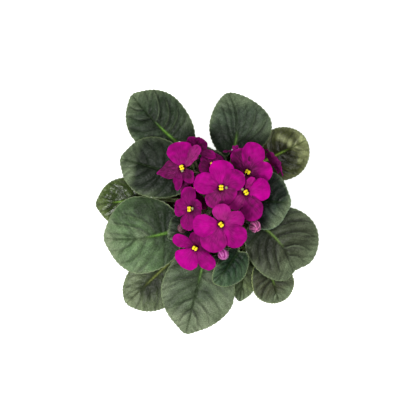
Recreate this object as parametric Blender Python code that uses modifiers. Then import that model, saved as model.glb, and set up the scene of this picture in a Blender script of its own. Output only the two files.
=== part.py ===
"""A potted African violet in bloom.

A rosette of heart-shaped leaves and five branching flower stalks grow from a short
crown in a plain round pot. Metres, +Z up. The origin is the centre of the pot's base,
and +Y is the back of the plant. The tables below are in millimetres and degrees.
"""

import math
from dataclasses import dataclass

import bmesh
import bpy
from mathutils import Matrix, Vector, geometry

MM = 0.001
GAP = 0.3  # clearance between pieces that touch
UP = Vector((0.0, 0.0, 1.0))
SHARP_ANGLE = math.radians(50)

# Pot: a tapered plastic shell with a collar and drain holes.
POT_HEIGHT = 78.0
POT_RIM_RADIUS = 45.0
POT_FOOT_RADIUS = 32.0
POT_WALL = 1.6
POT_FLOOR = 2.0
COLLAR_HEIGHT = 15.0
COLLAR_STEP = 1.6  # how far the collar stands out of the body
COLLAR_TAPER = 1.0  # how much the collar narrows downwards
RIM_ROUND = 1.2  # height and width of the rounding at rim, collar and foot
POT_SIDES = 40
DRAIN_HOLES = 5
DRAIN_RADIUS = 3.5
DRAIN_CIRCLE_RADIUS = 21.0

# Soil and crown.
SOIL_EDGE_HEIGHT = 66.0
SOIL_MOUND = 3.5
CROWN_RADIUS = 8.0
CROWN_FOOT_HEIGHT = 48.0
CROWN_SHOULDER_HEIGHT = 84.0
CROWN_TOP_HEIGHT = 88.0
SOIL_SIDES = 32
SOIL_RINGS = 5
CROWN_SIDES = 16

# Leaves.
BLADE_THICKNESS = 0.8
PETIOLE_ROOT_RADIUS = 1.9
PETIOLE_TIP_RADIUS = 1.4
MIDRIB_END_RADIUS = 0.5
MIDRIB_END = 0.62  # share of the blade's length
MIDRIB_STATIONS = 4
PETIOLE_STATIONS = 6
BLADE_MIDDLE = 0.46  # where the blade is widest, as a share of its length
SIDE_FULLNESS = 0.92  # below 1 the blade's sides are fuller than an ellipse's
SINUS_WIDTH = 0.24  # half the angle of the notch where the petiole joins
POINT_WIDTH = 0.26  # half the angle of the tip
RING_SHARE = 0.64  # size of the ring of points inside the margin
RING_POINTS = 14
TEETH = 30
TOOTH_DEPTH = 0.7

# Flowers.
PETALS = 5
PETAL_STEP = 2 * math.pi / PETALS
PETAL_THICKNESS = 0.6
PETAL_CROWN = 1.0  # rise of a petal between throat and tip
NOTCH_DEPTH = 0.5  # share of the reach at which neighbouring petals part
NOTCH_BLEND = 0.75
TUBE_DEPTH = 3.2
TUBE_RADIUS = 1.7
THROAT_RADIUS = 2.6
TUBE_SHARE = 0.1  # plan radii of the tube's floor and mouth
THROAT_SHARE = 0.2
CALYX_HEIGHT = 2.4
CALYX_RADIUS = 2.1
CALYX_FOOT_RADIUS = 0.95
SEPAL_REACH = 4.6
PEDUNCLE_RADIUS = 1.25
PEDUNCLE_LEAN = 6.0  # how upright a stalk arrives at its fork
PEDUNCLE_STATIONS = 5
PEDICEL_RADIUS = 0.8
PEDICEL_STATIONS = 6
FILAMENT_RADIUS = 0.5
SAC_RADII = (1.5, 1.15, 0.95)  # each of the two pollen sacs
SAC_APART = 0.95  # each sac's distance from the flower's axis
SAC_HEIGHT = 2.6
BUD_LENGTH = 1.05  # a bud's length over its width


@dataclass(frozen=True)
class Leaf:
    """One leaf: a heart-shaped blade on a petiole that rises from the crown."""

    name: str
    base: tuple[float, float, float]  # where the petiole meets the blade
    apex: tuple[float, float, float]  # the blade's tip
    left: float  # half-width left of the midrib, looking towards the tip
    right: float
    root: tuple[float, float]  # azimuth and height on the crown
    lobe: float = 9.0  # how far the lobes reach back past the petiole
    taper: float = 0.1  # narrowing of the front half towards the tip
    arch: float = 4.0  # rise of the midrib above the line from base to tip
    edge: float = 3.0  # how far the margins turn down
    fold: float = 2.0  # how far each half first rises from the midrib
    roll: float = 0.0  # turn about the midrib
    wave: float = 1.0  # rise and fall of the margin
    phase: float = 0.0
    point: float = 2.5  # how far the tip stands out; negative is a notch
    middle_share: float = BLADE_MIDDLE


@dataclass(frozen=True)
class Petal:
    """One petal of a flower, seen in the flower's own plane."""

    azimuth: float
    reach: float
    width: float  # half-width
    lift: float  # angle above the flower's plane; negative bends back


@dataclass(frozen=True)
class Bloom:
    """One open flower: five petals, anticlockwise, joined in a short tube."""

    name: str
    centre: tuple[float, float, float]
    facing: tuple[float, float]  # azimuth and tilt from straight up
    petals: tuple[Petal, ...]


@dataclass(frozen=True)
class Bud:
    """One closed flower bud."""

    name: str
    centre: tuple[float, float, float]
    facing: tuple[float, float]
    radius: float


@dataclass(frozen=True)
class Spray:
    """One flower stalk, which forks into a pedicel for each bloom or bud."""

    name: str
    root: tuple[float, float]  # radius and azimuth on the crown's top
    fork: tuple[float, float, float]
    carries: tuple[str, ...]


LEAVES = (
    # Outer leaves, the oldest and lowest.
    Leaf("leaf_outer_west", (-54, 4.6, 87), (-98.3, 0.4, 82), 20.5, 19.5, (172, 73.5), roll=4),
    Leaf("leaf_outer_southwest", (-38, -46, 87), (-73.6, -80, 81), 24.5, 18, (228, 73.5), phase=1.0,
         point=1.5),
    Leaf("leaf_outer_south", (23, -41, 83), (18.5, -78.5, 77), 12.5, 11, (297, 73.0), lobe=4, phase=2.0),
    Leaf("leaf_outer_southeast", (42, -50, 87), (50.5, -79.3, 81), 16.5, 17.5, (322, 74.0), phase=0.5,
         point=0.5),
    Leaf("leaf_outer_northeast", (36.8, 34.8, 87), (72.8, 52.6, 84), 20, 22.5, (44, 73.5), edge=4.5,
         phase=1.6, point=0.3),
    # Middle leaves, the largest.
    Leaf(
        "leaf_middle_northwest",
        (-32, 50, 96),
        (-68, 88, 97),
        23.6,
        23.6,
        (118, 79.0),
        lobe=13,
        fold=2.5,
        phase=0.4,
    ),
    Leaf("leaf_middle_west", (-39, -22, 97), (-91, -26.5, 91), 31, 31, (205, 78.5), lobe=12,
         taper=0.14, phase=2.4),
    Leaf("leaf_middle_east", (36, -17, 96), (63, -53, 90), 34.8, 24, (340, 79.0), taper=0.0, point=-4.5),
    Leaf("leaf_middle_north", (14, 46, 97), (9, 89.5, 98), 18.5, 31.5, (76, 79.5), taper=0.3,
         middle_share=0.36, phase=1.2, point=0.8),
    # Upper leaves, which overlap the ones below.
    Leaf("leaf_upper_south", (-10, -42, 104), (-25, -103, 95), 30.5, 28, (262, 80.0), taper=0.25, point=3.5),
    Leaf("leaf_upper_northwest", (-31, 24, 105), (-77, 37, 100), 23.5, 24.5, (146, 81.5), lobe=12, edge=4),
    # Inner leaves, the youngest, which stand up before they spread.
    Leaf("leaf_inner_south", (17, -36, 108), (-2.5, -62, 107), 16, 9, (286, 82.5), lobe=4, roll=-14, arch=3),
    Leaf(
        "leaf_inner_east",
        (22, 4, 105),
        (58.5, 1.5, 106),
        24,
        22.5,
        (10, 83.0),
        lobe=6,
        taper=0.0,
        fold=3.5,
        edge=4,
    ),
    Leaf("leaf_inner_west", (-16, -14, 102), (-39, -26, 107), 14, 13, (232, 83.0), lobe=4, roll=8, fold=3),
    Leaf("leaf_inner_north", (-2, 21, 101), (-8, 46, 105), 14, 12.5, (98, 83.5), lobe=3, fold=3),
)


def even_petals(first, reach, lift):
    """Five like petals, the first at an azimuth."""
    return tuple(Petal(first + 72 * i, reach, reach * 0.46, lift) for i in range(PETALS))


BLOOMS = (
    Bloom(
        "bloom_centre",
        (2.6, 12.7, 145),
        (60, 8),
        (
            Petal(88, 21.5, 9.6, 4),
            Petal(165, 21, 8.6, 2),
            Petal(244, 17, 8.2, -22),
            Petal(312, 14, 8.2, -24),
            Petal(390, 20, 8.4, 3),
        ),
    ),
    Bloom(
        "bloom_front",
        (2.6, -14.5, 147),
        (270, 10),
        (
            Petal(20, 18.5, 7, 8),
            Petal(87, 16, 7.2, 10),
            Petal(184, 21.5, 9, 3),
            Petal(246, 23.5, 10.5, -6),
            Petal(318, 23.5, 9.5, -6),
        ),
    ),
    Bloom(
        "bloom_right",
        (21.5, 9.5, 135.5),
        (0, 10),
        (
            Petal(11, 19.5, 9, 3),
            Petal(70, 15.5, 4, 40),
            Petal(160, 14, 7, -22),
            Petal(222, 17, 6.5, -8),
            Petal(291, 23, 9, -4),
        ),
    ),
    Bloom(
        "bloom_back_right",
        (23, 25, 131),
        (50, 8),
        (
            Petal(3, 19.5, 8, 2),
            Petal(73, 24, 9.4, 3),
            Petal(118, 20, 8, 14),
            Petal(205, 14, 7, -20),
            Petal(285, 14, 7, -20),
        ),
    ),
    Bloom(
        "bloom_back_left",
        (-27, 28, 134),
        (120, 14),
        (
            Petal(45, 24, 5.5, 32),
            Petal(98, 21.5, 10.4, 0),
            Petal(186, 22.5, 7, -24),
            Petal(245, 23, 5.5, -52),
            Petal(306, 14, 6, -30),
        ),
    ),
    Bloom(
        "bloom_left",
        (-20.3, -3.2, 130),
        (180, 36),
        (
            Petal(20, 10.5, 5.5, 2),
            Petal(97, 17.5, 7, 4),
            Petal(175, 16, 7, 4),
            Petal(257, 17, 7, 4),
            Petal(328, 10.5, 6, 2),
        ),
    ),
    Bloom(
        "bloom_front_left",
        (-17, -33, 130),
        (225, 12),
        (
            Petal(5, 12, 6.8, -20),
            Petal(78, 13, 6, 6),
            Petal(148, 20.5, 5.4, 26),
            Petal(233, 18.5, 10, 3),
            Petal(308, 22, 6.2, -10),
        ),
    ),
    # Lower flowers, half hidden, most of them seen from the side.
    Bloom(
        "bloom_low_back",
        (-17.5, 42, 119),
        (70, 25),
        (
            Petal(45, 12, 5.5, 25),
            Petal(100, 12, 6, 22),
            Petal(160, 11, 5.5, 30),
            Petal(250, 8, 5, 10),
            Petal(345, 17, 3.6, 2),
        ),
    ),
    Bloom("bloom_low_centre", (-4, 30.5, 117), (75, 20), even_petals(57, 11, 10)),
    Bloom(
        "bloom_low_left",
        (-18.5, 12, 119),
        (200, 20),
        (
            Petal(58, 11, 5, 12),
            Petal(130, 12.5, 6, 12),
            Petal(202, 11, 5.5, 12),
            Petal(255, 10, 4.5, 8),
            Petal(303, 18, 4.2, -4),
        ),
    ),
    Bloom(
        "bloom_low_right",
        (44, 33, 114),
        (33, 94),
        (
            Petal(69, 12, 5, 0),
            Petal(141, 13, 5.5, 5),
            Petal(213, 10.5, 5, 32),
            Petal(285, 13, 5.5, 5),
            Petal(357, 12, 5, 0),
        ),
    ),
    Bloom(
        "bloom_low_north",
        (14, 40, 119),
        (90, 74),
        (
            Petal(54, 9, 4.5, 5),
            Petal(126, 9, 4.5, 5),
            Petal(198, 10, 5, 20),
            Petal(270, 13, 3.2, 58),
            Petal(342, 10, 5, 20),
        ),
    ),
)

BUDS = (
    Bud("bud_right", (29.1, -16.7, 126), (300, 30), 4.6),
    Bud("bud_front", (4.5, -38, 130), (268, 60), 4.2),
    Bud("bud_left", (-27, -18, 117), (220, 60), 3.9),
)

SPRAYS = (
    Spray("stalk_back_left", (4.6, 140), (-14, 25, 110), ("bloom_back_left", "bloom_low_back")),
    Spray("stalk_centre", (4.6, 75), (3, 18, 107), ("bloom_centre", "bloom_low_centre", "bloom_low_north")),
    Spray("stalk_right", (4.6, 20), (15, 13, 113), ("bloom_right", "bloom_back_right", "bloom_low_right")),
    Spray("stalk_front", (4.6, 300), (8, -14, 112), ("bloom_front", "bud_right", "bud_front")),
    Spray(
        "stalk_left",
        (4.6, 215),
        (-10, -9, 110),
        ("bloom_left", "bloom_front_left", "bloom_low_left", "bud_left"),
    ),
)


def clear_scene():
    """Removes every object that the file opened with."""
    for obj in list(bpy.data.objects):
        bpy.data.objects.remove(obj)


def make_material(name, colour, roughness):
    """A plain Principled material."""
    material = bpy.data.materials.new(name)
    material.use_nodes = True
    shader = material.node_tree.nodes["Principled BSDF"]
    shader.inputs["Base Color"].default_value = (*colour, 1.0)
    shader.inputs["Roughness"].default_value = roughness
    shader.inputs["Metallic"].default_value = 0.0
    return material


def add_object(name, mesh, collection, material=None):
    """Links a mesh as a named object. A finished piece has its material and smooth shading."""
    mesh.name = name
    obj = bpy.data.objects.new(name, mesh)
    collection.objects.link(obj)
    if material:
        mesh.materials.clear()
        mesh.materials.append(material)
        mesh.shade_smooth()
        mesh.set_sharp_from_angle(angle=SHARP_ANGLE)
    return obj


def evaluated_mesh(obj):
    """The object's mesh with its modifiers applied, its welds made and its faces outward."""
    bpy.context.view_layer.update()
    graph = bpy.context.evaluated_depsgraph_get()
    mesh = bpy.data.meshes.new_from_object(obj.evaluated_get(graph))
    form = bmesh.new()
    form.from_mesh(mesh)
    bmesh.ops.remove_doubles(form, verts=form.verts, dist=1e-7)
    bmesh.ops.recalc_face_normals(form, faces=form.faces)
    form.to_mesh(mesh)
    form.free()
    mesh.transform(obj.matrix_world)
    return mesh


def fuse(name, pieces, collection, material):
    """Joins closed pieces in one solid with a Boolean union, and removes them."""
    first, *others = pieces
    holder = bpy.data.collections.new(name + "_pieces")
    bpy.context.scene.collection.children.link(holder)
    for piece in others:
        for user in list(piece.users_collection):
            user.objects.unlink(piece)
        holder.objects.link(piece)
    union = first.modifiers.new("union", "BOOLEAN")
    union.operation = "UNION"
    union.solver = "EXACT"
    union.operand_type = "COLLECTION"
    union.collection = holder
    mesh = evaluated_mesh(first)
    for piece in pieces:
        bpy.data.objects.remove(piece)
    bpy.data.collections.remove(holder)
    return add_object(name, mesh, collection, material)


def tube(points, radii, collection):
    """A tapered six-sided tube through the points, with closed ends, as a mesh object."""
    curve = bpy.data.curves.new("tube", "CURVE")
    curve.dimensions = "3D"
    curve.bevel_depth = MM
    curve.bevel_resolution = 1
    curve.use_fill_caps = True
    line = curve.splines.new("POLY")
    line.points.add(len(points) - 1)
    for spot, place, radius in zip(line.points, points, radii):
        spot.co = (*(Vector(place) * MM), 1.0)
        spot.radius = radius
    guide = add_object("tube", curve, collection)
    mesh = evaluated_mesh(guide)
    bpy.data.objects.remove(guide)
    return add_object("tube", mesh, collection)


def sheet(outline, inner, lift, thickness, collection):
    """A thin closed blade: a flat outline, triangulated, lifted into space and made thick.

    outline and inner are plan points, and lift turns one into a point in space.
    """
    plan = [Vector(p) for p in outline] + [Vector(p) for p in inner]
    border = [list(range(len(outline)))]
    found = geometry.delaunay_2d_cdt(plan, [], border, 1, 1e-6)
    points, triangles = found[0], found[2]
    mesh = bpy.data.meshes.new("sheet")
    mesh.from_pydata([Vector(lift(p.x, p.y)) * MM for p in points], [], triangles)
    blade = add_object("sheet", mesh, collection)
    wall = blade.modifiers.new("wall", "SOLIDIFY")
    wall.thickness = thickness * MM
    wall.offset = 0.0
    solid = evaluated_mesh(blade)
    bpy.data.objects.remove(blade)
    return add_object("sheet", solid, collection)


def bezier(start, start_aim, end, end_aim, count):
    """Points on a cubic curve from start to end, leaving and arriving along the aims."""
    reach = (end - start).length
    near = start + start_aim.normalized() * reach * 0.38
    far = end - end_aim.normalized() * reach * 0.34
    return geometry.interpolate_bezier(start, near, far, end, count)


def direction(azimuth, tilt):
    """The unit vector at an azimuth, tilted from straight up."""
    a, t = math.radians(azimuth), math.radians(tilt)
    return Vector((math.sin(t) * math.cos(a), math.sin(t) * math.sin(a), math.cos(t)))


def turned(name, profile, sides, collection, material=None):
    """A solid of revolution about Z. The profile is (radius, height), down the outer side."""
    points = [(radius * MM, 0.0, height * MM) for radius, height in profile]
    edges = [(i, i + 1) for i in range(len(points) - 1)]
    mesh = bpy.data.meshes.new(name)
    mesh.from_pydata(points, edges, [])
    obj = add_object(name, mesh, collection, material)
    screw = obj.modifiers.new("turn", "SCREW")
    screw.axis = "Z"
    screw.steps = screw.render_steps = sides
    screw.use_merge_vertices = True
    screw.merge_threshold = 1e-6
    return obj


# Pot, soil and crown


COLLAR_FOOT_HEIGHT = POT_HEIGHT - COLLAR_HEIGHT
BODY_TOP_RADIUS = POT_RIM_RADIUS - COLLAR_TAPER - COLLAR_STEP


def pot_inner_radius(height):
    """The inner radius: one straight taper inside body and collar."""
    foot = POT_FOOT_RADIUS - POT_WALL
    top = BODY_TOP_RADIUS - POT_WALL
    return foot + (top - foot) * height / COLLAR_FOOT_HEIGHT


def build_pot(collection, cutters, material):
    """The shell of the pot: a turned body, hollowed, with drain holes through its floor."""
    mouth = pot_inner_radius(POT_HEIGHT)
    outside = [
        (0.0, POT_HEIGHT),
        (POT_RIM_RADIUS - RIM_ROUND, POT_HEIGHT),
        (POT_RIM_RADIUS, POT_HEIGHT - RIM_ROUND),
        (POT_RIM_RADIUS - COLLAR_TAPER, COLLAR_FOOT_HEIGHT + RIM_ROUND / 2),
        (POT_RIM_RADIUS - COLLAR_TAPER - RIM_ROUND / 2, COLLAR_FOOT_HEIGHT),
        (BODY_TOP_RADIUS, COLLAR_FOOT_HEIGHT),
        (POT_FOOT_RADIUS, RIM_ROUND),
        (POT_FOOT_RADIUS - RIM_ROUND, 0.0),
        (0.0, 0.0),
    ]
    inside = [
        (0.0, POT_HEIGHT + POT_WALL),
        (mouth + POT_WALL, POT_HEIGHT + POT_WALL),
        (mouth, POT_HEIGHT - RIM_ROUND / 2),
        (pot_inner_radius(POT_FLOOR + RIM_ROUND), POT_FLOOR + RIM_ROUND),
        (pot_inner_radius(POT_FLOOR) - RIM_ROUND, POT_FLOOR),
        (0.0, POT_FLOOR),
    ]
    pot = turned("pot", outside, POT_SIDES, collection, material)
    cut(pot, turned("pot_hollow", inside, POT_SIDES, cutters))
    for number in range(DRAIN_HOLES):
        cut(pot, drain_cutter(number, cutters))
    return pot


def drain_cutter(number, cutters):
    """A cylinder through the floor for one drain hole."""
    form = bmesh.new()
    bmesh.ops.create_cone(
        form,
        cap_ends=True,
        segments=12,
        radius1=DRAIN_RADIUS * MM,
        radius2=DRAIN_RADIUS * MM,
        depth=4 * POT_FLOOR * MM,
    )
    mesh = bpy.data.meshes.new("drain_cutter")
    form.to_mesh(mesh)
    form.free()
    cutter = add_object(f"drain_cutter_{number}", mesh, cutters)
    spot = direction(360 * (number + 0.5) / DRAIN_HOLES, 90) * DRAIN_CIRCLE_RADIUS * MM
    cutter.location = spot
    return cutter


def cut(obj, cutter):
    """Takes the cutter out of the object with a live Boolean."""
    cutter.hide_render = True
    cutter.display_type = "WIRE"
    modifier = obj.modifiers.new("cut", "BOOLEAN")
    modifier.operation = "DIFFERENCE"
    modifier.solver = "EXACT"
    modifier.object = cutter


def build_soil(collection, material):
    """The root ball: it fills the pot and has a plain hole for the crown."""
    floor = POT_FLOOR + GAP
    hole = CROWN_RADIUS + GAP
    edge = pot_inner_radius(SOIL_EDGE_HEIGHT) - GAP
    hole_floor = CROWN_FOOT_HEIGHT - GAP
    profile = [(0.0, hole_floor), (hole, hole_floor)]
    for i in range(SOIL_RINGS + 1):
        share = i / SOIL_RINGS
        rise = SOIL_MOUND * math.cos(share * math.pi / 2) ** 1.5
        profile.append((hole + (edge - hole) * share, SOIL_EDGE_HEIGHT + rise))
    profile += [
        (pot_inner_radius(floor + RIM_ROUND) - GAP, floor + RIM_ROUND),
        (pot_inner_radius(floor) - RIM_ROUND - 2 * GAP, floor),
        (0.0, floor),
    ]
    return turned("soil", profile, SOIL_SIDES, collection, material)


def build_crown(collection, material):
    """The short stem that carries the petioles and the flower stalks."""
    profile = [
        (0.0, CROWN_TOP_HEIGHT),
        (CROWN_RADIUS - 2.4, CROWN_TOP_HEIGHT - 0.2),
        (CROWN_RADIUS - 0.6, CROWN_TOP_HEIGHT - 1.6),
        (CROWN_RADIUS, CROWN_SHOULDER_HEIGHT),
        (CROWN_RADIUS, CROWN_FOOT_HEIGHT + 4.0),
        (CROWN_RADIUS - 3.0, CROWN_FOOT_HEIGHT),
        (0.0, CROWN_FOOT_HEIGHT),
    ]
    return turned("crown", profile, CROWN_SIDES, collection, material)


# Leaves


def leaf_matrix(leaf):
    """The leaf's own frame, in millimetres: origin at the base, X to the tip, Y to the left."""
    base, apex = Vector(leaf.base), Vector(leaf.apex)
    ahead = (apex - base).normalized()
    left = UP.cross(ahead).normalized()
    normal = ahead.cross(left)
    frame = Matrix((ahead, left, normal)).transposed().to_4x4()
    return Matrix.Translation(base) @ frame @ Matrix.Rotation(math.radians(leaf.roll), 4, "X")


def leaf_length(leaf):
    """The blade's length from the petiole to the tip."""
    return (Vector(leaf.apex) - Vector(leaf.base)).length


def leaf_outline(leaf, angle, tooth=0.0):
    """A point of the margin at an angle from the tip, round the blade's middle.

    Half ellipses before and behind the middle, the front one tapered, with lobes that reach
    back, a notch where the petiole joins, and a tip that stands out. tooth moves the point out.
    """
    middle = leaf.middle_share * leaf_length(leaf)
    front = leaf_length(leaf) - leaf.point - middle
    back = middle + leaf.lobe
    c, s = math.cos(angle), math.sin(angle)
    width = (leaf.left if s > 0 else leaf.right) * (1 - leaf.taper * max(0.0, c) ** 1.5)
    x = middle + (front if c > 0 else back) * c
    y = width * math.copysign(abs(s) ** SIDE_FULLNESS, s)
    x += leaf.lobe * math.exp(-(((math.pi - abs(angle)) / SINUS_WIDTH) ** 2))
    x += leaf.point * math.exp(-((angle / POINT_WIDTH) ** 2))
    return x + tooth * c, y + tooth * s


def leaf_height(leaf, x, y):
    """The blade's height above its frame's plane.

    The midrib arches, each half folds up from it, and the margin turns down and waves.
    """
    along = x / leaf_length(leaf)
    across = abs(y) / (leaf.left if y > 0 else leaf.right)
    arch = leaf.arch * (4 * along * (1 - along) if along > 0 else 2.2 * along)
    fold = leaf.fold * (1 - math.exp(-2.2 * across))
    turn = leaf.edge * across**2.4
    angle = math.atan2(y, x - leaf.middle_share * leaf_length(leaf))
    wave = leaf.wave * across**2 * math.sin(5 * angle + leaf.phase)
    return arch + fold - turn + wave


def leaf_point(leaf, frame, x, y, drop=0.0):
    """A point of the blade in space, or drop below it."""
    return frame @ Vector((x, y, leaf_height(leaf, x, y) - drop))


def build_blade(leaf, frame, collection):
    """The blade: a thin waved sheet with a scalloped margin."""
    length = leaf_length(leaf)
    middle = leaf.middle_share * length
    outline = []
    for i in range(2 * TEETH):
        tooth = TOOTH_DEPTH * (0.5 if i % 2 else -0.5)
        outline.append(leaf_outline(leaf, math.pi * (1 - (i + 0.5) / TEETH), tooth))
    inner = [
        (length * MIDRIB_END * i / MIDRIB_STATIONS, 0.0) for i in range(1, MIDRIB_STATIONS + 1)
    ]
    inner.append((length * (1 + MIDRIB_END) / 2, 0.0))
    for i in range(RING_POINTS):
        x, y = leaf_outline(leaf, math.pi * (1 - (2 * i + 1) / RING_POINTS))
        inner.append((middle + (x - middle) * RING_SHARE, y * RING_SHARE))
    return sheet(
        outline, inner, lambda x, y: leaf_point(leaf, frame, x, y), BLADE_THICKNESS, collection
    )


def between(start, end, count):
    """Evenly spaced values from start to end, both included."""
    return [start + (end - start) * i / count for i in range(count + 1)]


def build_petiole(leaf, frame, collection):
    """The petiole from the crown to the blade, which goes on as the midrib under it."""
    azimuth, height = leaf.root
    outward = direction(azimuth, 90)
    root = outward * (CROWN_RADIUS + GAP + PETIOLE_ROOT_RADIUS / 3) + UP * height
    stations = between(0.0, leaf_length(leaf) * MIDRIB_END, MIDRIB_STATIONS)
    rib_radii = between(PETIOLE_TIP_RADIUS, MIDRIB_END_RADIUS, MIDRIB_STATIONS)
    rib = [leaf_point(leaf, frame, x, 0.0, radius) for x, radius in zip(stations, rib_radii)]
    ahead = frame.to_3x3() @ Vector((1.0, 0.0, 0.0))
    climb = (rib[0] - root).normalized()
    route = bezier(root, outward + UP * 0.35, rib[0], ahead + climb, PETIOLE_STATIONS + 1)
    radii = between(PETIOLE_ROOT_RADIUS, PETIOLE_TIP_RADIUS, PETIOLE_STATIONS)
    return tube(route + rib[1:], radii + rib_radii[1:], collection)


def build_leaf(leaf, collection, material):
    """Blade and petiole in one solid."""
    frame = leaf_matrix(leaf)
    blade = build_blade(leaf, frame, collection)
    petiole = build_petiole(leaf, frame, collection)
    return fuse(leaf.name, [blade, petiole], collection, material)


# Flowers


def flower_frame(flower):
    """The flower's own frame, in millimetres: the axes leant over so that Z is where it faces."""
    lean = UP.rotation_difference(direction(*flower.facing)).to_matrix().to_4x4()
    return Matrix.Translation(Vector(flower.centre)) @ lean


def seam(bloom, number, side):
    """The angle from a petal's middle to the notch on one side, by the petals' widths."""
    petal = bloom.petals[number]
    other = bloom.petals[(number + side) % PETALS]
    apart = (side * (other.azimuth - petal.azimuth)) % 360
    return math.radians(apart) * petal.width / (petal.width + other.width)


def petal_share(bloom, turns):
    """Azimuth, reach, lift and outline at a place round the flower, counted in petals.

    Near a notch, reach and lift go over smoothly to the neighbour's.
    """
    number = round(turns) % PETALS
    offset = (turns - round(turns)) * 2
    side = 1 if offset > 0 else -1
    petal, other = bloom.petals[number], bloom.petals[(number + side) % PETALS]
    azimuth = math.radians(petal.azimuth) + offset * seam(bloom, number, side)
    mix = 0.5 * max(0.0, (abs(offset) - NOTCH_BLEND) / (1 - NOTCH_BLEND))
    reach = petal.reach * (1 - mix) + other.reach * mix
    lift = petal.lift * (1 - mix) + other.lift * mix
    outline = NOTCH_DEPTH + (1 - NOTCH_DEPTH) * max(0.0, 1 - abs(offset) ** 5) ** 0.55
    return azimuth, reach, math.radians(lift), outline


def bloom_point(bloom, frame, x, y):
    """A point of the corolla from a flat plan of five like sectors, one for each petal.

    Radius 1 of the plan is a petal's full reach. Within THROAT_SHARE lies the tube; outside
    it the petals spread, each at its lift.
    """
    flat = math.hypot(x, y)
    azimuth, reach, lift, _ = petal_share(bloom, math.atan2(y, x) / PETAL_STEP % PETALS)
    share = (flat - THROAT_SHARE) / (1 - THROAT_SHARE)
    if share < -0.01:
        radius, height = TUBE_RADIUS * flat / TUBE_SHARE, -TUBE_DEPTH
    else:
        arm = (reach - THROAT_RADIUS) * share
        bend = lift * min(1.0, 2.5 * share)
        radius = THROAT_RADIUS + arm * math.cos(bend)
        height = arm * math.sin(bend) + PETAL_CROWN * math.sin(1.2 * math.pi * share)
    return frame @ Vector((radius * math.cos(azimuth), radius * math.sin(azimuth), height))


def plan_ring(radius, stations):
    """Plan points at one radius, at the same stations within each petal's sector."""
    angles = [PETAL_STEP * (i + station / 2) for i in range(PETALS) for station in stations]
    return [(radius * math.cos(angle), radius * math.sin(angle)) for angle in angles]


def build_corolla(bloom, collection, material):
    """The five petals and their tube, as one thin arched blade."""
    frame = flower_frame(bloom)
    outline = []
    for i in range(PETALS):
        for station in (-1.0, -0.9, -0.6, -0.2, 0.2, 0.6, 0.9):
            turns = i + station / 2
            radius = petal_share(bloom, turns % PETALS)[3]
            angle = PETAL_STEP * turns
            outline.append((radius * math.cos(angle), radius * math.sin(angle)))
    inner = [(0.0, 0.0)]
    inner += plan_ring(TUBE_SHARE, (-1.0, 0.0))
    inner += plan_ring(THROAT_SHARE, (-1.0, 0.0))
    inner += plan_ring(0.40, (-1.0, -0.4, 0.4))
    inner += plan_ring(0.70, (-0.5, 0.5))
    corolla = sheet(
        outline, inner, lambda x, y: bloom_point(bloom, frame, x, y), PETAL_THICKNESS, collection
    )
    return finish(corolla, bloom.name + "_corolla", collection, material)


def finish(obj, name, collection, material):
    """Names a finished solid and gives it its material, in a new object."""
    mesh = obj.data
    bpy.data.objects.remove(obj)
    return add_object(name, mesh, collection, material)


def ellipsoid(radii, place, frame, collection, rings=3, segments=6):
    """A low ellipsoid at a place in a frame, all in millimetres."""
    form = bmesh.new()
    bmesh.ops.create_uvsphere(form, u_segments=segments, v_segments=rings, radius=1.0)
    shape = Matrix.Translation(Vector(place)) @ Matrix.Diagonal((*radii, 1.0))
    bmesh.ops.transform(form, matrix=Matrix.Scale(MM, 4) @ frame @ shape, verts=form.verts)
    mesh = bpy.data.meshes.new("ellipsoid")
    form.to_mesh(mesh)
    form.free()
    return add_object("ellipsoid", mesh, collection)


def build_anthers(bloom, collection, material):
    """Two yellow pollen sacs side by side on their filament, which stands in the tube."""
    frame = flower_frame(bloom)
    foot = -TUBE_DEPTH + PETAL_THICKNESS / 2 + GAP
    sacs = [
        ellipsoid(SAC_RADII, (0.0, side * SAC_APART, SAC_HEIGHT), frame, collection)
        for side in (-1, 1)
    ]
    route = [frame @ Vector((0.0, 0.0, height)) for height in (foot, SAC_HEIGHT - 0.2)]
    filament = tube(route, [FILAMENT_RADIUS] * 2, collection)
    return fuse(bloom.name + "_anthers", [filament, *sacs], collection, material)


def flower_back(flower):
    """The flower's frame and the depth behind its centre at which its calyx begins."""
    if isinstance(flower, Bloom):
        return flower_frame(flower), TUBE_DEPTH + PETAL_THICKNESS / 2
    return flower_frame(flower), flower.radius * BUD_LENGTH


def build_bud(bud, collection, material):
    """A rounded bud, a little longer than wide."""
    frame = flower_frame(bud)
    radii = (bud.radius, bud.radius, bud.radius * BUD_LENGTH)
    obj = ellipsoid(radii, (0, 0, 0), frame, collection, rings=7, segments=10)
    return finish(obj, bud.name, collection, material)


def build_calyx(flower, collection):
    """A small green cup behind the flower, its rim drawn out in five pointed sepals."""
    frame, depth = flower_back(flower)
    form = bmesh.new()
    bmesh.ops.create_cone(
        form,
        cap_ends=True,
        segments=2 * PETALS,
        radius1=CALYX_FOOT_RADIUS,
        radius2=CALYX_RADIUS,
        depth=CALYX_HEIGHT,
    )
    for vertex in form.verts:
        place = round(math.atan2(vertex.co.y, vertex.co.x) / (PETAL_STEP / 2))
        if vertex.co.z > 0 and place % 2 == 0:
            vertex.co.xy *= SEPAL_REACH / CALYX_RADIUS
    behind = Matrix.Translation((0.0, 0.0, -depth - GAP - CALYX_HEIGHT / 2))
    bmesh.ops.transform(form, matrix=Matrix.Scale(MM, 4) @ frame @ behind, verts=form.verts)
    bmesh.ops.triangulate(form, faces=form.faces)
    mesh = bpy.data.meshes.new("calyx")
    form.to_mesh(mesh)
    form.free()
    return add_object("calyx", mesh, collection)


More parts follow.
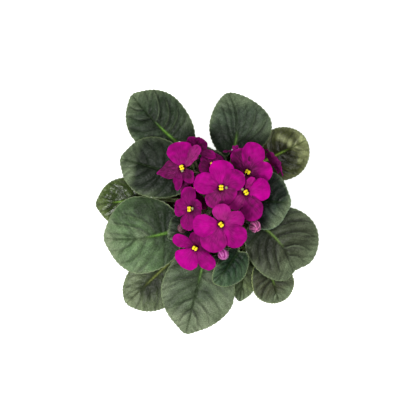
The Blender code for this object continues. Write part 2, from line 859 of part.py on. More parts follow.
def build_spray(spray, flowers, collection, material):
    """The stalk, its pedicels and their calyces in one solid."""
    radius, azimuth = spray.root
    root = direction(azimuth, 90) * radius + UP * (CROWN_TOP_HEIGHT + GAP)
    fork = Vector(spray.fork)
    climb = bezier(root, UP, fork, fork - root + UP * PEDUNCLE_LEAN, PEDUNCLE_STATIONS + 1)
    over = (climb[-1] - climb[-2]).normalized() * PEDICEL_RADIUS
    radii = [PEDUNCLE_RADIUS] * len(climb) + [PEDICEL_RADIUS]
    pieces = [tube(climb + [fork + over], radii, collection)]
    for name in spray.carries:
        frame, depth = flower_back(flowers[name])
        end = frame @ Vector((0.0, 0.0, -depth - GAP - CALYX_HEIGHT / 2))
        leave = (end - fork).normalized() + over
        aim = frame.to_3x3() @ UP
        route = bezier(fork - over, leave, end, aim, PEDICEL_STATIONS + 1)
        pieces.append(tube(route, [PEDICEL_RADIUS] * len(route), collection))
        pieces.append(build_calyx(flowers[name], collection))
    return fuse(spray.name, pieces, collection, material)


def main():
    """Builds every piece in the collection named for the plant."""
    clear_scene()
    plant = bpy.data.collections.new("potted_african_violet")
    cutters = bpy.data.collections.new("cutters")
    bpy.context.scene.collection.children.link(plant)
    bpy.context.scene.collection.children.link(cutters)
    plastic = make_material("pot_plastic", (0.014, 0.032, 0.018), 0.55)
    earth = make_material("soil", (0.05, 0.03, 0.02), 0.95)
    stem = make_material("crown", (0.16, 0.14, 0.06), 0.8)
    leaf_green = make_material("leaf", (0.05, 0.11, 0.05), 0.45)
    stalk_green = make_material("stalk", (0.17, 0.16, 0.07), 0.6)
    petal_purple = make_material("petal", (0.46, 0.01, 0.36), 0.6)
    bud_pink = make_material("bud", (0.45, 0.08, 0.3), 0.5)
    pollen_yellow = make_material("anther", (0.9, 0.72, 0.03), 0.6)

    build_pot(plant, cutters, plastic)
    build_soil(plant, earth)
    build_crown(plant, stem)
    for leaf in LEAVES:
        build_leaf(leaf, plant, leaf_green)
    for bloom in BLOOMS:
        build_corolla(bloom, plant, petal_purple)
        build_anthers(bloom, plant, pollen_yellow)
    for bud in BUDS:
        build_bud(bud, plant, bud_pink)
    flowers = {flower.name: flower for flower in (*BLOOMS, *BUDS)}
    for spray in SPRAYS:
        build_spray(spray, flowers, plant, stalk_green)


main()
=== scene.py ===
"""Dresses the potted African violet with veined leaves, velvety flowers, soil and pot.

Each piece stands for the CAD node that it names and repeats its form, finer. The sizes in
the classes are millimetres and degrees in the object's own frame, and +Z is up. Colours
are linear red, green and blue, and a material's scales are per metre.
"""

import logging
import math
from dataclasses import dataclass, field
from enum import Enum
from itertools import combinations
from typing import Any

import bpy
import numpy as np
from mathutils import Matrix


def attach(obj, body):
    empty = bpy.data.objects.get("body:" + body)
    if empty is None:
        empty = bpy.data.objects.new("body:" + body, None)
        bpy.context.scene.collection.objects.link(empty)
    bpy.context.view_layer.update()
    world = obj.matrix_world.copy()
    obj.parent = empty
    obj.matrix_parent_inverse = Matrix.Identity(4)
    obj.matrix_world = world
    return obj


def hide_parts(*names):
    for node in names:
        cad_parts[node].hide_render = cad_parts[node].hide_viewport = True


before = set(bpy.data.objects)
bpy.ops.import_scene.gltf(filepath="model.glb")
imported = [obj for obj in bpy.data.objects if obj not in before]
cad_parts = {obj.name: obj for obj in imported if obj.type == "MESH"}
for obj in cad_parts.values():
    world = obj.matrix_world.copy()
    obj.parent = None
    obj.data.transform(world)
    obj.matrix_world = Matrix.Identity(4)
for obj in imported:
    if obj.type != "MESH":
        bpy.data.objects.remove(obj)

Array = np.ndarray
Pair = tuple[float, float]
Triple = tuple[float, float, float]
Four = tuple[float, float, float, float]
Colour = Triple
Dice = np.random.Generator
Material = bpy.types.Material
Object = bpy.types.Object

MM = 0.001
BODY = "root"
UP = np.array((0.0, 0.0, 1.0))
LOG = logging.getLogger("violet")

WAVES = 7  # sine waves in a swell
PHASES = 6.28  # how far a wave of a swell is shifted, in radians
HANDLES = (0.38, 0.34)  # a stalk curve's handles, as shares of its straight length
CROWDING = 1.5  # how strongly a sheet's rings crowd at its margin
ROUNDNESS = 8  # how late a sheet's thickness falls off at its margin
HAIR_RADIUS = 0.035
STALK_STATIONS = 26


# Geometry


def unit(vectors: Array) -> Array:
    """The vectors at length 1."""
    return vectors / np.linalg.norm(vectors, axis=-1, keepdims=True)


def circle(count: int) -> Array:
    """Evenly spaced angles once round, in radians."""
    return np.arange(count) * (2 * math.pi / count)


def bell(value: Array, width: float) -> Array:
    """exp(-(value / width)^2): 1 at zero, near 0 beyond twice the width."""
    return np.exp(-((value / width) ** 2))


def limit(value: Array) -> Array:
    """The value, held between 0 and 1."""
    return np.clip(value, 0.0, 1.0)


def direction(azimuth: float, tilt: float) -> Array:
    """The unit vector at an azimuth, tilted from straight up, both in degrees."""
    a, t = math.radians(azimuth), math.radians(tilt)
    return np.array((math.sin(t) * math.cos(a), math.sin(t) * math.sin(a), math.cos(t)))


def about_z(degrees: float) -> Array:
    """The matrix ((cos, -sin, 0), (sin, cos, 0), (0, 0, 1)), which turns a column about Z."""
    c, s = math.cos(math.radians(degrees)), math.sin(math.radians(degrees))
    return np.array(((c, -s, 0), (s, c, 0), (0, 0, 1)))


def swell(x: Array, y: Array, size: float, seed: int) -> Array:
    """Smooth irregular rise and fall between about -1 and 1.

    The sum of seven sine waves in seeded directions, with wavelengths near size, over half
    their number.

    Args:
        x: First coordinate of each place.
        y: Second coordinate of each place.
        size: Typical distance from crest to crest.
        seed: Number that fixes the waves.

    Returns:
        The height at each place.
    """
    dice = np.random.default_rng(seed)
    total = np.zeros(np.broadcast(x, y).shape)
    for turn, phase, stretch in dice.uniform(0.0, 1.0, (WAVES, 3)):
        pitch = 2 * math.pi / (size * (0.6 + stretch))
        angle = 2 * math.pi * turn
        total += np.sin(pitch * (x * math.cos(angle) + y * math.sin(angle)) + PHASES * phase)
    return total / (WAVES / 2)


def bezier(start: Array, start_aim: Array, end: Array, end_aim: Array, count: int) -> Array:
    """Points on a cubic curve that leaves and arrives along the aims.

    The point at t is (1-t)^3 a + 3(1-t)^2 t b + 3(1-t) t^2 c + t^3 d, with the handles b and
    c at their shares of the straight distance from the ends a and d.

    Args:
        start: First point.
        start_aim: Direction of leaving.
        end: Last point.
        end_aim: Direction of arriving.
        count: Number of points.

    Returns:
        The points, one row each.
    """
    reach = float(np.linalg.norm(end - start))
    near = start + unit(start_aim) * reach * HANDLES[0]
    far = end - unit(end_aim) * reach * HANDLES[1]
    t = np.linspace(0.0, 1.0, count)[:, None]
    return (
        (1 - t) ** 3 * start + 3 * (1 - t) ** 2 * t * near + 3 * (1 - t) * t**2 * far + t**3 * end
    )


def resample(profile: list[Pair], step: float) -> Array:
    """Adds points along a profile's lines and keeps its corners.

    Args:
        profile: Radius and height of each corner.
        step: Longest stretch left without a point.

    Returns:
        Radius and height of each point, one row each.
    """
    corners = np.array(profile, dtype=float)
    gaps = np.linalg.norm(np.diff(corners, axis=0), axis=1)
    mileage = np.concatenate(([0.0], np.cumsum(gaps)))
    even = np.linspace(0.0, mileage[-1], int(mileage[-1] / step) + 1)
    stops = np.unique(np.concatenate((mileage, even)).round(4))
    return np.stack([np.interp(stops, mileage, corners[:, i]) for i in (0, 1)], axis=1)


def revolve(profile: Array | list[Pair], columns: int) -> Array:
    """Rings of a turned form: (r cos a, r sin a, z) for each profile point (r, z)."""
    (r, z), angle = np.hsplit(np.asarray(profile, dtype=float), 2), circle(columns)
    return np.stack((r * np.cos(angle), r * np.sin(angle), z + 0 * angle), axis=-1)


def ball(rows: int, columns: int) -> Array:
    """Rings of a unit ball round Z, (sin p cos a, sin p sin a, cos p)."""
    polar = np.linspace(0.0, math.pi, rows)
    return revolve(np.stack((np.sin(polar), np.cos(polar)), axis=1), columns)


def around(side: Array, other: Array, count: int) -> Array:
    """Unit circles, cos a . side + sin a . other, with a row of points for each pair."""
    angle = circle(count)[:, None]
    return np.cos(angle) * side[:, None] + np.sin(angle) * other[:, None]


def tube(path: Array, radii: Array, columns: int = 12) -> Array:
    """Rings of a tube along a path: centre + radius (cos a . side + sin a . up).

    side is the least direction of the path's spread, made square to the path at each
    station, and up is square to both.

    Args:
        path: Stations along the middle, one row each.
        radii: Radius at each station.
        columns: Points round the tube.

    Returns:
        The rings, with a pole at either end.
    """
    along = unit(np.gradient(path, axis=0))
    least = np.linalg.svd(path - path.mean(axis=0))[2][-1]
    side = unit(least - (along @ least)[:, None] * along)
    circles = around(side, np.cross(along, side), columns)
    rings = path[:, None] + np.reshape(radii, (-1, 1, 1)) * circles
    ends = (np.repeat(path[spot, None, None], columns, axis=1) for spot in (0, -1))
    return np.concatenate((next(ends), rings, next(ends)))


def listed(grid: Array) -> Array:
    """A grid of ring values as one list, each pole once."""
    middle = grid[1:-1].reshape(-1, *grid.shape[2:])
    return np.concatenate((grid[0, :1], middle, grid[-1, :1]))


@dataclass(frozen=True)
class Form:
    """One closed form: rings of points between two poles, with masks for its finish.

    rings has rows x columns x 3 numbers in millimetres. Its first and last rows are the
    poles. A mask has a number or a vector for each ring point.
    """

    rings: Array
    masks: dict[str, Array] = field(default_factory=dict)

    def triangles(self) -> Array:
        """Bands of triangles between the rings, and fans round the two poles.

        Returns:
            Three point numbers for each face, facing outwards: all are turned round where
            the volume, the sum of p0 . (p1 x p2) / 6, is negative.
        """
        rows, columns = self.rings.shape[:2]
        here = np.arange(columns)
        near = np.roll(here, -1)
        first = 1 + np.arange(rows - 3)[:, None] * columns
        a, b = first + here, first + near
        d, e = a + columns, b + columns
        last = 1 + (rows - 3) * columns
        end = last + columns
        bands = np.stack((a, b, e, a, e, d), axis=-1).reshape(-1, 3)
        start_fan = np.stack((here * 0, 1 + near, 1 + here), axis=-1)
        end_fan = np.stack((last + here, last + near, here * 0 + end), axis=-1)
        faces = np.concatenate((start_fan, bands, end_fan))
        p = listed(self.rings)[faces]
        volume = np.einsum("ij,ij->", p[:, 0], np.cross(p[:, 1], p[:, 2]))
        return faces if volume > 0 else faces[:, ::-1]


def place_in_scene(name: str, data: Any) -> Object:
    """Makes an object of a mesh, lamp or camera and puts it into the scene.

    Args:
        name: The object's name.
        data: The mesh, lamp or camera.

    Returns:
        The object, at the origin.
    """
    made = bpy.data.objects.new(name, data)
    bpy.context.scene.collection.objects.link(made)
    return made


@dataclass
class Piece:
    """One object in the making, gathered from closed forms."""

    name: str
    points: list[Array] = field(default_factory=list)
    faces: list[Array] = field(default_factory=list)
    masks: list[dict[str, Array]] = field(default_factory=list)

    def add(
        self, points: Array, faces: Array, masks: dict[str, Array] | None = None, **even: float
    ) -> None:
        """Adds loose closed shells.

        Args:
            points: Places in millimetres, one row each.
            faces: Point numbers, three to a row.
            masks: Values for each point.
            even: Masks with one value all over.
        """
        whole = {name: np.full(len(points), value) for name, value in even.items()}
        self.faces.append(faces + sum(map(len, self.points)))
        self.points.append(points)
        self.masks.append({**(masks or {}), **whole})

    def add_form(self, form: Form, **even: float) -> None:
        """Adds a form with its own masks and those with one value all over it."""
        masks = {name: listed(grid) for name, grid in form.masks.items()}
        self.add(listed(form.rings), form.triangles(), masks, **even)

    def add_tube(self, path: Array, radii: Array, columns: int = 12, **even: float) -> None:
        """Adds a tube along a path, with masks of one value."""
        self.add_form(Form(tube(path, radii, columns)), **even)

    def add_hairs(self, roots: Array, aims: Array, lengths: Array) -> None:
        """Adds fine hairs as closed three-sided spikes.

        Args:
            roots: Where each hair starts.
            aims: Unit direction of each hair.
            lengths: Length of each hair.
        """
        spare = np.where(np.abs(aims[:, 2:]) < 0.9, UP, np.array((1.0, 0.0, 0.0)))
        side = unit(np.cross(aims, spare))
        ring = roots[:, None] + HAIR_RADIUS * around(side, np.cross(aims, side), 3)
        tips = (roots + aims * lengths[:, None])[:, None]
        points = np.concatenate((ring, tips), axis=1).reshape(-1, 3)
        spike = np.array(((0, 1, 3), (1, 2, 3), (2, 0, 3), (0, 2, 1)))
        faces = (spike + 4 * np.arange(len(roots))[:, None, None]).reshape(-1, 3)
        self.add(points, faces, hair=1.0)

    def add_fur(
        self, path: Array, radii: Array, count: int, length: float, dice: Dice
    ) -> None:
        """Adds hairs that stand out all round a tube.

        Args:
            path: The tube's stations.
            radii: Its radius at each.
            count: Number of hairs.
            length: Greatest length of a hair; the least is half of it.
            dice: Seeded random numbers.
        """
        step = dice.uniform(0.0, len(path) - 1.001, count)
        low = step.astype(int)
        part = (step - low)[:, None]
        centre = path[low] * (1 - part) + path[low + 1] * part
        along = unit(path[low + 1] - path[low])
        aims = unit(np.cross(along, dice.normal(size=(count, 3))))
        roots = centre + aims * (radii[low] * 0.95)[:, None]
        self.add_hairs(roots, aims, dice.uniform(0.5, 1.0, count) * length)

    def shape(self, flat: bool = False) -> Object:
        """Makes the object with its mesh and masks; shells without a mask have zeros in it.

        Args:
            flat: Whether its faces are shaded flat.

        Returns:
            The object, at the origin.
        """
        mesh = bpy.data.meshes.new(self.name)
        points, faces = np.concatenate(self.points) * MM, np.concatenate(self.faces)
        mesh.from_pydata(points, [], faces, shade_flat=flat)
        for name in sorted({key for masks in self.masks for key in masks}):
            rest = next(masks[name] for masks in self.masks if name in masks).shape[1:]
            shells = zip(self.masks, self.points)
            parts = [masks.get(name, np.zeros((len(own), *rest))) for masks, own in shells]
            kind, key = ("FLOAT_VECTOR", "vector") if rest else ("FLOAT", "value")
            values = np.concatenate(parts).astype(np.float32).ravel()
            mesh.attributes.new(name, kind, "POINT").data.foreach_set(key, values)
        return place_in_scene(self.name, mesh)

    def build(self, material: Material, slot: str, *nodes: str) -> Object:
        """Makes the object, which rides on the body and stands for CAD nodes.

        Args:
            material: Finish of the whole piece.
            slot: The record's material slot; not used.
            nodes: CAD nodes that the piece stands for.

        Returns:
            The finished object, at the origin.
        """
        piece = self.shape()
        piece.data.materials.append(material)
        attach(piece, BODY)
        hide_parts(*nodes)
        return piece


@dataclass(frozen=True)
class Frame:
    """A place and three axes, for forms worked out in their own coordinates."""

    origin: Array
    axes: Array

    def place(self, local: Array) -> Array:
        """Points in the object's frame: origin + x e1 + y e2 + z e3."""
        return self.origin + local @ self.axes

    @staticmethod
    def facing(centre: Triple, azimuth: float, tilt: float) -> "Frame":
        """A frame leant over so that its third axis points at azimuth and tilt.

        Args:
            centre: The frame's origin.
            azimuth: Where it leans, in degrees.
            tilt: How far from straight up, in degrees.

        Returns:
            The frame; its matrix is Rz(azimuth) Ry(tilt) Rz(-azimuth).
        """
        c, s = math.cos(math.radians(tilt)), math.sin(math.radians(tilt))
        swing, lean = about_z(azimuth), np.array(((c, 0, s), (0, 1, 0), (-s, 0, c)))
        return Frame(np.array(centre, dtype=float), (swing @ lean @ swing.T).T)


@dataclass(frozen=True)
class Sheet:
    """Rows of a thin closed blade, from the middle of its top to the middle of its back.

    Each place has its plan x and y, its share of the way to the margin, the half thickness
    above or below the middle surface, and whether it is on the back.
    """

    x: Array
    y: Array
    share: Array
    half: Array
    under: Array

    @staticmethod
    def spread(outline: Array, middle: float, thickness: float, top: int, back: int) -> "Sheet":
        """Shrinks a flat outline towards a middle in rings.

        A ring's share of the outline is 1 - (1 - t)^1.5, so rings crowd at the margin,
        and half the thickness there is thickness / 2 . sqrt(1 - share^8).

        Args:
            outline: Plan points of the margin, one row each.
            middle: Where the rings close, along X.
            thickness: Thickness away from the margin.
            top: Number of rings on the top.
            back: Number of rings on the back.

        Returns:
            The sheet, with rows x columns numbers each.
        """
        face = 1 - (1 - np.linspace(0.0, 1.0, top)) ** CROWDING
        rear = 1 - (1 - np.linspace(1.0, 0.0, back)[1:]) ** CROWDING
        share = np.concatenate((face, rear))[:, None]
        under = (np.arange(top + back - 1) >= top).astype(float)[:, None]
        x = middle + share * (outline[:, 0] - middle)
        y = share * outline[:, 1]
        half = thickness / 2 * np.sqrt(1 - share**ROUNDNESS) * (1 - 2 * under)
        grid = np.zeros_like(x)
        return Sheet(x, y, share + grid, half + grid, under + grid)

    def lifted(self, height: Array) -> Array:
        """Rings of places with the middle surface at the given height."""
        return np.stack((self.x, self.y, height + self.half), axis=-1)


# Finishes


@dataclass
class Graph:
    """Short calls that add nodes to a tree and join them."""

    tree: bpy.types.NodeTree

    def feed(self, socket: bpy.types.NodeSocket, value: Any) -> None:
        """Links another node's output to a socket, or sets the socket's own value.

        Args:
            socket: The input.
            value: An output socket, a number, a vector or a colour.
        """
        if isinstance(value, bpy.types.NodeSocket):
            self.tree.links.new(value, socket)
        elif socket.type == "RGBA":
            socket.default_value = (*value, 1.0)
        else:
            socket.default_value = value

    def node(self, kind: str, inputs: dict[Any, Any], **settings: Any) -> bpy.types.Node:
        """Adds a node.

        Args:
            kind: Blender's name of the node type.
            inputs: What goes into its inputs, by name or number.
            settings: Its other settings.

        Returns:
            The node.
        """
        node = self.tree.nodes.new(kind)
        for name, value in settings.items():
            setattr(node, name, value)
        for key, value in inputs.items():
            self.feed(node.inputs[key], value)
        return node

    def mix(self, amount: Any, first: Any, second: Any, mode: str = "MIX") -> Any:
        """The first colour with an amount of the second, joined in a mode."""
        settings = {"data_type": "RGBA", "blend_type": mode, "clamp_factor": True}
        return self.node("ShaderNodeMix", {0: amount, 6: first, 7: second}, **settings).outputs[2]

    def plus(self, first: Any, second: Any) -> Any:
        """The sum of two values."""
        return self.node("ShaderNodeMath", {0: first, 1: second}, operation="ADD").outputs[0]

    def times(self, first: Any, second: Any) -> Any:
        """The product of two values."""
        return self.node("ShaderNodeMath", {0: first, 1: second}, operation="MULTIPLY").outputs[0]

    def ramp(
        self, value: Any, start: float, end: float, low: float = 0.0, high: float = 1.0
    ) -> Any:
        """The value between low and high carried over to between start and end."""
        inputs = {0: value, 1: low, 2: high, 3: start, 4: end}
        return self.node("ShaderNodeMapRange", inputs).outputs[0]

    def noise(self, vector: Any, scale: Any, detail: float = 2.0) -> Any:
        """Smooth noise between 0 and 1."""
        inputs = {"Vector": vector, "Scale": scale, "Detail": detail}
        return self.node("ShaderNodeTexNoise", inputs).outputs["Fac"]


def mottle_group() -> bpy.types.NodeTree:
    """The node group for natural unevenness: broad patches and a fine grain.

    Returns:
        A group from Vector, Patch Scale and Grain Scale to Patches and Grain.
    """
    tree = bpy.data.node_groups.new("mottle", "ShaderNodeTree")
    for name, way, kind in (
        ("Vector", "INPUT", "Vector"),
        ("Patch Scale", "INPUT", "Float"),
        ("Grain Scale", "INPUT", "Float"),
        ("Patches", "OUTPUT", "Float"),
        ("Grain", "OUTPUT", "Float"),
    ):
        tree.interface.new_socket(name, in_out=way, socket_type="NodeSocket" + kind)
    graph = Graph(tree)
    given = graph.node("NodeGroupInput", {}).outputs
    patches = graph.noise(given["Vector"], given["Patch Scale"], 3.0)
    grain = graph.noise(given["Vector"], given["Grain Scale"], 2.0)
    spread = graph.ramp(patches, 0.0, 1.0, 0.35, 0.65)
    graph.node("NodeGroupOutput", {"Patches": spread, "Grain": grain})
    return tree


class Finish:
    """What every finish tells: the scales of its patches and grain, how its roughness rises
    with the grain, by its span, and how deep its bump is, in millimetres."""

    scales: Pair
    roughness: float
    span: float
    depth: float
    gloss: float
    sheen: float = 0.0
    sheen_roughness: float = 0.5
    sheen_tint: Colour = (1.0, 1.0, 1.0)


class Recipe(Graph):
    """One material in the making."""

    def __init__(self, name: str) -> None:
        """Starts a material with its Principled shader.

        Args:
            name: The material's name.
        """
        self.material = bpy.data.materials.new(name)
        self.material.use_nodes = True
        super().__init__(self.material.node_tree)

    def mask(self, name: str, strength: float = 1.0) -> Any:
        """A mask of the piece, times a strength."""
        held = self.node("ShaderNodeAttribute", {}, attribute_name=name).outputs["Fac"]
        return held if strength == 1.0 else self.times(held, strength)

    def spot(self) -> Any:
        """Object coordinates, which are metres in the row's frame."""
        return self.node("ShaderNodeTexCoord", {}).outputs["Object"]

    def mottle(self, look: Finish) -> tuple[Any, Any]:
        """Broad patches and a fine grain at the finish's scales.

        Args:
            look: The finish.

        Returns:
            Patches and grain, 0 to 1 each.
        """
        group = bpy.data.node_groups.get("mottle") or mottle_group()
        patch, grain = look.scales
        inputs = {"Vector": self.spot(), "Patch Scale": patch, "Grain Scale": grain}
        node = self.node("ShaderNodeGroup", inputs, node_tree=group)
        return node.outputs["Patches"], node.outputs["Grain"]

    def streaks(self, name: str, scales: Triple) -> Any:
        """Noise drawn out over a vector that is stored in the piece.

        Args:
            name: The vector's name.
            scales: How fast the noise changes along each of its axes.

        Returns:
            The noise, 0 to 1.
        """
        vector = self.node("ShaderNodeAttribute", {}, attribute_name=name).outputs["Vector"]
        drawn = self.node("ShaderNodeVectorMath", {0: vector, 1: scales}, operation="MULTIPLY")
        return self.noise(drawn.outputs[0], 1.0, 3.0)

    def coats(self, colour: Any, *coats: tuple[str, float, Any]) -> Any:
        """Lays colours over a first one, by mask, strength and colour, the lowest first."""
        for mask, strength, over in coats:
            colour = self.mix(self.mask(mask, strength), colour, over)
        return colour

    def dress(self, inputs: dict[str, Any]) -> Material:
        """Feeds the shader's inputs, by name, and ends the material."""
        for name, value in inputs.items():
            self.feed(self.tree.nodes["Principled BSDF"].inputs[name], value)
        return self.material

    def finish(
        self, look: Finish, colour: Any, grain: Any, height: Any = None, duller: Any = None
    ) -> Material:
        """Ends the material with a finish's own numbers.

        Args:
            look: The finish.
            colour: The colour.
            grain: The grain, which the roughness follows.
            height: Height of the bump, 0 to 1; the grain where none is given.
            duller: What is added to the roughness.

        Returns:
            The material.
        """
        rough = self.ramp(grain, look.roughness, look.roughness + look.span, 0.2, 0.8)
        bump = {
            "Height": grain if height is None else height,
            "Distance": look.depth * MM,
            "Strength": 1.0,
        }
        return self.dress({
            "Base Color": colour,
            "Roughness": rough if duller is None else self.plus(rough, duller),
            "Normal": self.node("ShaderNodeBump", bump).outputs["Normal"],
            "Specular IOR Level": look.gloss,
            "Sheen Weight": look.sheen,
            "Sheen Roughness": look.sheen_roughness,
            "Sheen Tint": look.sheen_tint,
        })


@dataclass(frozen=True)
class LeafFinish(Finish):
    """One leaf's greens, its painted sheen and painted shade, and its gloss.

    The streaks' scales are across, along and beside the midrib. The dark colours, painted shade in
    the valleys, the veins and shadowed patches, are shares of the light one.
    """

    light: Colour = (0.055, 0.085, 0.040)
    # share of the light colour in the valleys by the veins: painted shade
    valley_shade: float = 0.30
    bright: float = 1.35
    # share of the light colour in shadowed patches: painted shade
    dim: float = 0.15
    # share of the light colour along the sunken veins: painted shade in the grooves
    vein: float = 0.12
    midrib: Colour = (0.10, 0.22, 0.03)
    rim: Colour = (0.22, 0.29, 0.13)
    # near the petiole: a darker base, partly the leaf's own tint and partly painted shade
    heel: Colour = (0.010, 0.017, 0.009)
    under: Colour = (0.15, 0.20, 0.10)
    # grey-green painted sheen
    haze: Colour = (0.165, 0.215, 0.12)
    stem: Colour = (0.11, 0.13, 0.045)
    hair: Colour = (0.15, 0.18, 0.12)
    flecks: tuple[Colour, Colour] = ((0.72, 0.74, 0.72), (1.42, 1.40, 1.42))
    bright_strength: float = 0.45
    painted_shade_strength: float = 0.9
    vein_shade_strength: float = 0.9
    # strength of the painted highlight beside the side veins
    crest_highlight_strength: float = 0.6
    rim_strength: float = 0.6
    heel_strength: float = 0.8
    midrib_reach: float = 0.40
    scales: Pair = (110.0, 1400.0)
    streak_scales: Triple = (0.25, 0.07, 0.003)
    cell_scale: float = 330.0
    roughness: float = 0.30
    span: float = 0.18
    depth: float = 0.16
    gloss: float = 0.13
    sheen: float = 0.01
    sheen_tint: Colour = (0.75, 0.85, 0.70)

    def shaded(self, share: float) -> Colour:
        """The light colour at a share of its brightness."""
        return tuple(share * part for part in self.light)

    def material(self, name: str) -> Material:
        """The leaf's material: mottled green with painted shade and painted sheen, pale at the rim.

        Args:
            name: The material's name.

        Returns:
            The material. It reads the leaf's masks.
        """
        make = Recipe(name)
        patches, grain = make.mottle(self)
        streaks = make.streaks("plan", self.streak_scales)
        # Painted shade: darker in the valleys by the veins, light on the swellings, with random
        # patches.
        lit = make.times(make.mask("quilt"), make.ramp(patches, 0.15, 1.0))
        colour = make.mix(lit, self.shaded(self.valley_shade), self.light)
        bright = make.ramp(streaks, 0.0, self.bright_strength, 0.44, 0.66)
        colour = make.mix(bright, colour, self.shaded(self.bright))
        # Painted shade where the leaf lies in shadow.
        colour = make.coats(colour, ("dim", self.painted_shade_strength, self.shaded(self.dim)))
        # Painted sheen toward the tip, the margin and in patches, and painted highlights beside the
        # veins.
        pale = make.plus(make.mask("pale"), make.mask("crest", self.crest_highlight_strength))
        haze = make.times(pale, make.ramp(streaks, 0.4, 1.0, 0.35, 0.62))
        colour = make.coats(
            make.mix(haze, colour, self.haze),
            # Painted shade in the grooves of the veins.
            ("vein", self.vein_shade_strength, self.shaded(self.vein)),
            # A darker base by the petiole: partly its own tint, partly painted shade.
            ("heel", self.heel_strength, self.heel),
            ("midrib", 1.0, self.midrib),
            ("rim", self.rim_strength, self.rim),
            ("under", 1.0, self.under),
            ("stem", 1.0, self.stem),
        )
        fleck = make.mix(make.ramp(grain, 0.0, 1.0, 0.36, 0.64), *self.flecks)
        colour = make.mix(1.0, colour, fleck, "MULTIPLY")
        inputs = {"Vector": make.spot(), "Scale": self.cell_scale}
        cells = make.node("ShaderNodeTexVoronoi", inputs, feature="DISTANCE_TO_EDGE")
        net = make.ramp(cells.outputs["Distance"], 0.0, 1.0, 0.0, 0.3)
        height = make.plus(net, make.times(grain, 1.2))
        return make.finish(self, make.coats(colour, ("hair", 1.0, self.hair)), grain, height)


@dataclass(frozen=True)
class PetalFinish(Finish):
    """Velvety magenta petals, darker in the throat, with faint lines from it.

    The lines' scales are along the azimuth and the radius. The dusky colour is partly the petals'
    own darker tone and partly painted shade; the hazy colour is painted sheen.
    """

    bright: Colour = (0.53, 0.0008, 0.29)
    deep: Colour = (0.30, 0.0015, 0.165)
    dusky: Colour = (0.070, 0.005, 0.038)
    throat: Colour = (0.10, 0.003, 0.040)
    streak: Colour = (0.38, 0.02, 0.22)
    haze: Colour = (0.42, 0.050, 0.225)
    under: Colour = (0.20, 0.010, 0.12)
    fleck: Colour = (0.72, 0.7, 0.72)
    scales: Pair = (110.0, 2600.0)
    line_scales: Triple = (26.0, 0.22, 1.0)
    roughness: float = 0.5
    span: float = 0.2
    depth: float = 0.12
    gloss: float = 0.02
    sheen: float = 0.015
    sheen_roughness: float = 0.4
    sheen_tint: Colour = (1.0, 0.1, 0.85)

    def material(self, name: str) -> Material:
        """The petals' material.

        Args:
            name: The material's name.

        Returns:
            The material. It reads the corolla's masks and its plan of azimuth and radius.
        """
        make = Recipe(name)
        patches, grain = make.mottle(self)
        lines = make.streaks("plan", self.line_scales)
        colour = make.mix(make.ramp(patches, 0.0, 0.8), self.bright, self.deep)
        # The dusky colour: partly the petals' own darker tone, partly painted shade and painted
        # shadow.
        colour = make.coats(colour, ("shade", 1.0, self.dusky))
        for mask, strength, over in (
            ("line", make.ramp(lines, 0.0, 0.8, 0.48, 0.68), self.streak),
            # Painted sheen.
            ("haze", make.ramp(lines, 0.3, 1.0, 0.35, 0.65), self.haze),
            ("line", make.ramp(lines, 0.0, 0.5, 0.50, 0.30), self.dusky),
        ):
            colour = make.mix(make.times(strength, make.mask(mask)), colour, over)
        colour = make.coats(colour, ("throat", 1.0, self.throat), ("under", 0.6, self.under))
        fleck = make.ramp(grain, 0.0, 0.35, 0.25, 0.75)
        colour = make.mix(fleck, colour, self.fleck, "MULTIPLY")
        return make.finish(self, colour, grain, make.plus(make.times(lines, 1.2), grain))


@dataclass(frozen=True)
class PollenFinish(Finish):
    """Grainy yellow pollen sacs on pale filaments, and the green stigma."""

    yellow: Colour = (1.0, 0.86, 0.012)
    shade: Colour = (0.68, 0.44, 0.003)
    filament: Colour = (0.55, 0.50, 0.25)
    style: Colour = (0.20, 0.02, 0.12)
    stigma: Colour = (0.30, 0.30, 0.13)
    scales: Pair = (500.0, 5000.0)
    roughness: float = 0.45
    span: float = 0.3
    depth: float = 0.08
    gloss: float = 0.3

    def material(self, name: str) -> Material:
        """The stamens' material.

        Args:
            name: The material's name.

        Returns:
            The material. It reads the stamens' masks.
        """
        make = Recipe(name)
        patches, grain = make.mottle(self)
        colour = make.coats(
            make.mix(make.ramp(patches, 0.0, 0.25), self.yellow, self.shade),
            # Painted shade in the groove between the lobes.
            ("groove", 0.7, self.shade),
            ("filament", 1.0, self.filament),
            ("style", 1.0, self.style),
            ("stigma", 1.0, self.stigma),
        )
        return make.finish(self, colour, grain)


@dataclass(frozen=True)
class BudFinish(Finish):
    """A bud's closed petals: two tones in stripes, and a green foot."""

    pale: Colour = (0.72, 0.150, 0.42)
    deep: Colour = (0.065, 0.002, 0.036)
    tip: Colour = (0.22, 0.20, 0.12)
    patch_shade: float = 0.75
    scales: Pair = (400.0, 3000.0)
    roughness: float = 0.22
    span: float = 0.2
    depth: float = 0.1
    gloss: float = 0.35
    sheen: float = 0.02
    sheen_roughness: float = 0.4
    sheen_tint: Colour = (1.0, 0.6, 0.9)

    def material(self, name: str) -> Material:
        """The bud's material.

        Args:
            name: The material's name.

        Returns:
            The material. It reads the bud's masks.
        """
        make = Recipe(name)
        patches, grain = make.mottle(self)
        colour = make.mix(patches, self.pale, tuple(self.patch_shade * c for c in self.pale))
        colour = make.coats(colour, ("stripe", 1.0, self.deep), ("tip", 1.0, self.tip))
        return make.finish(self, colour, grain)


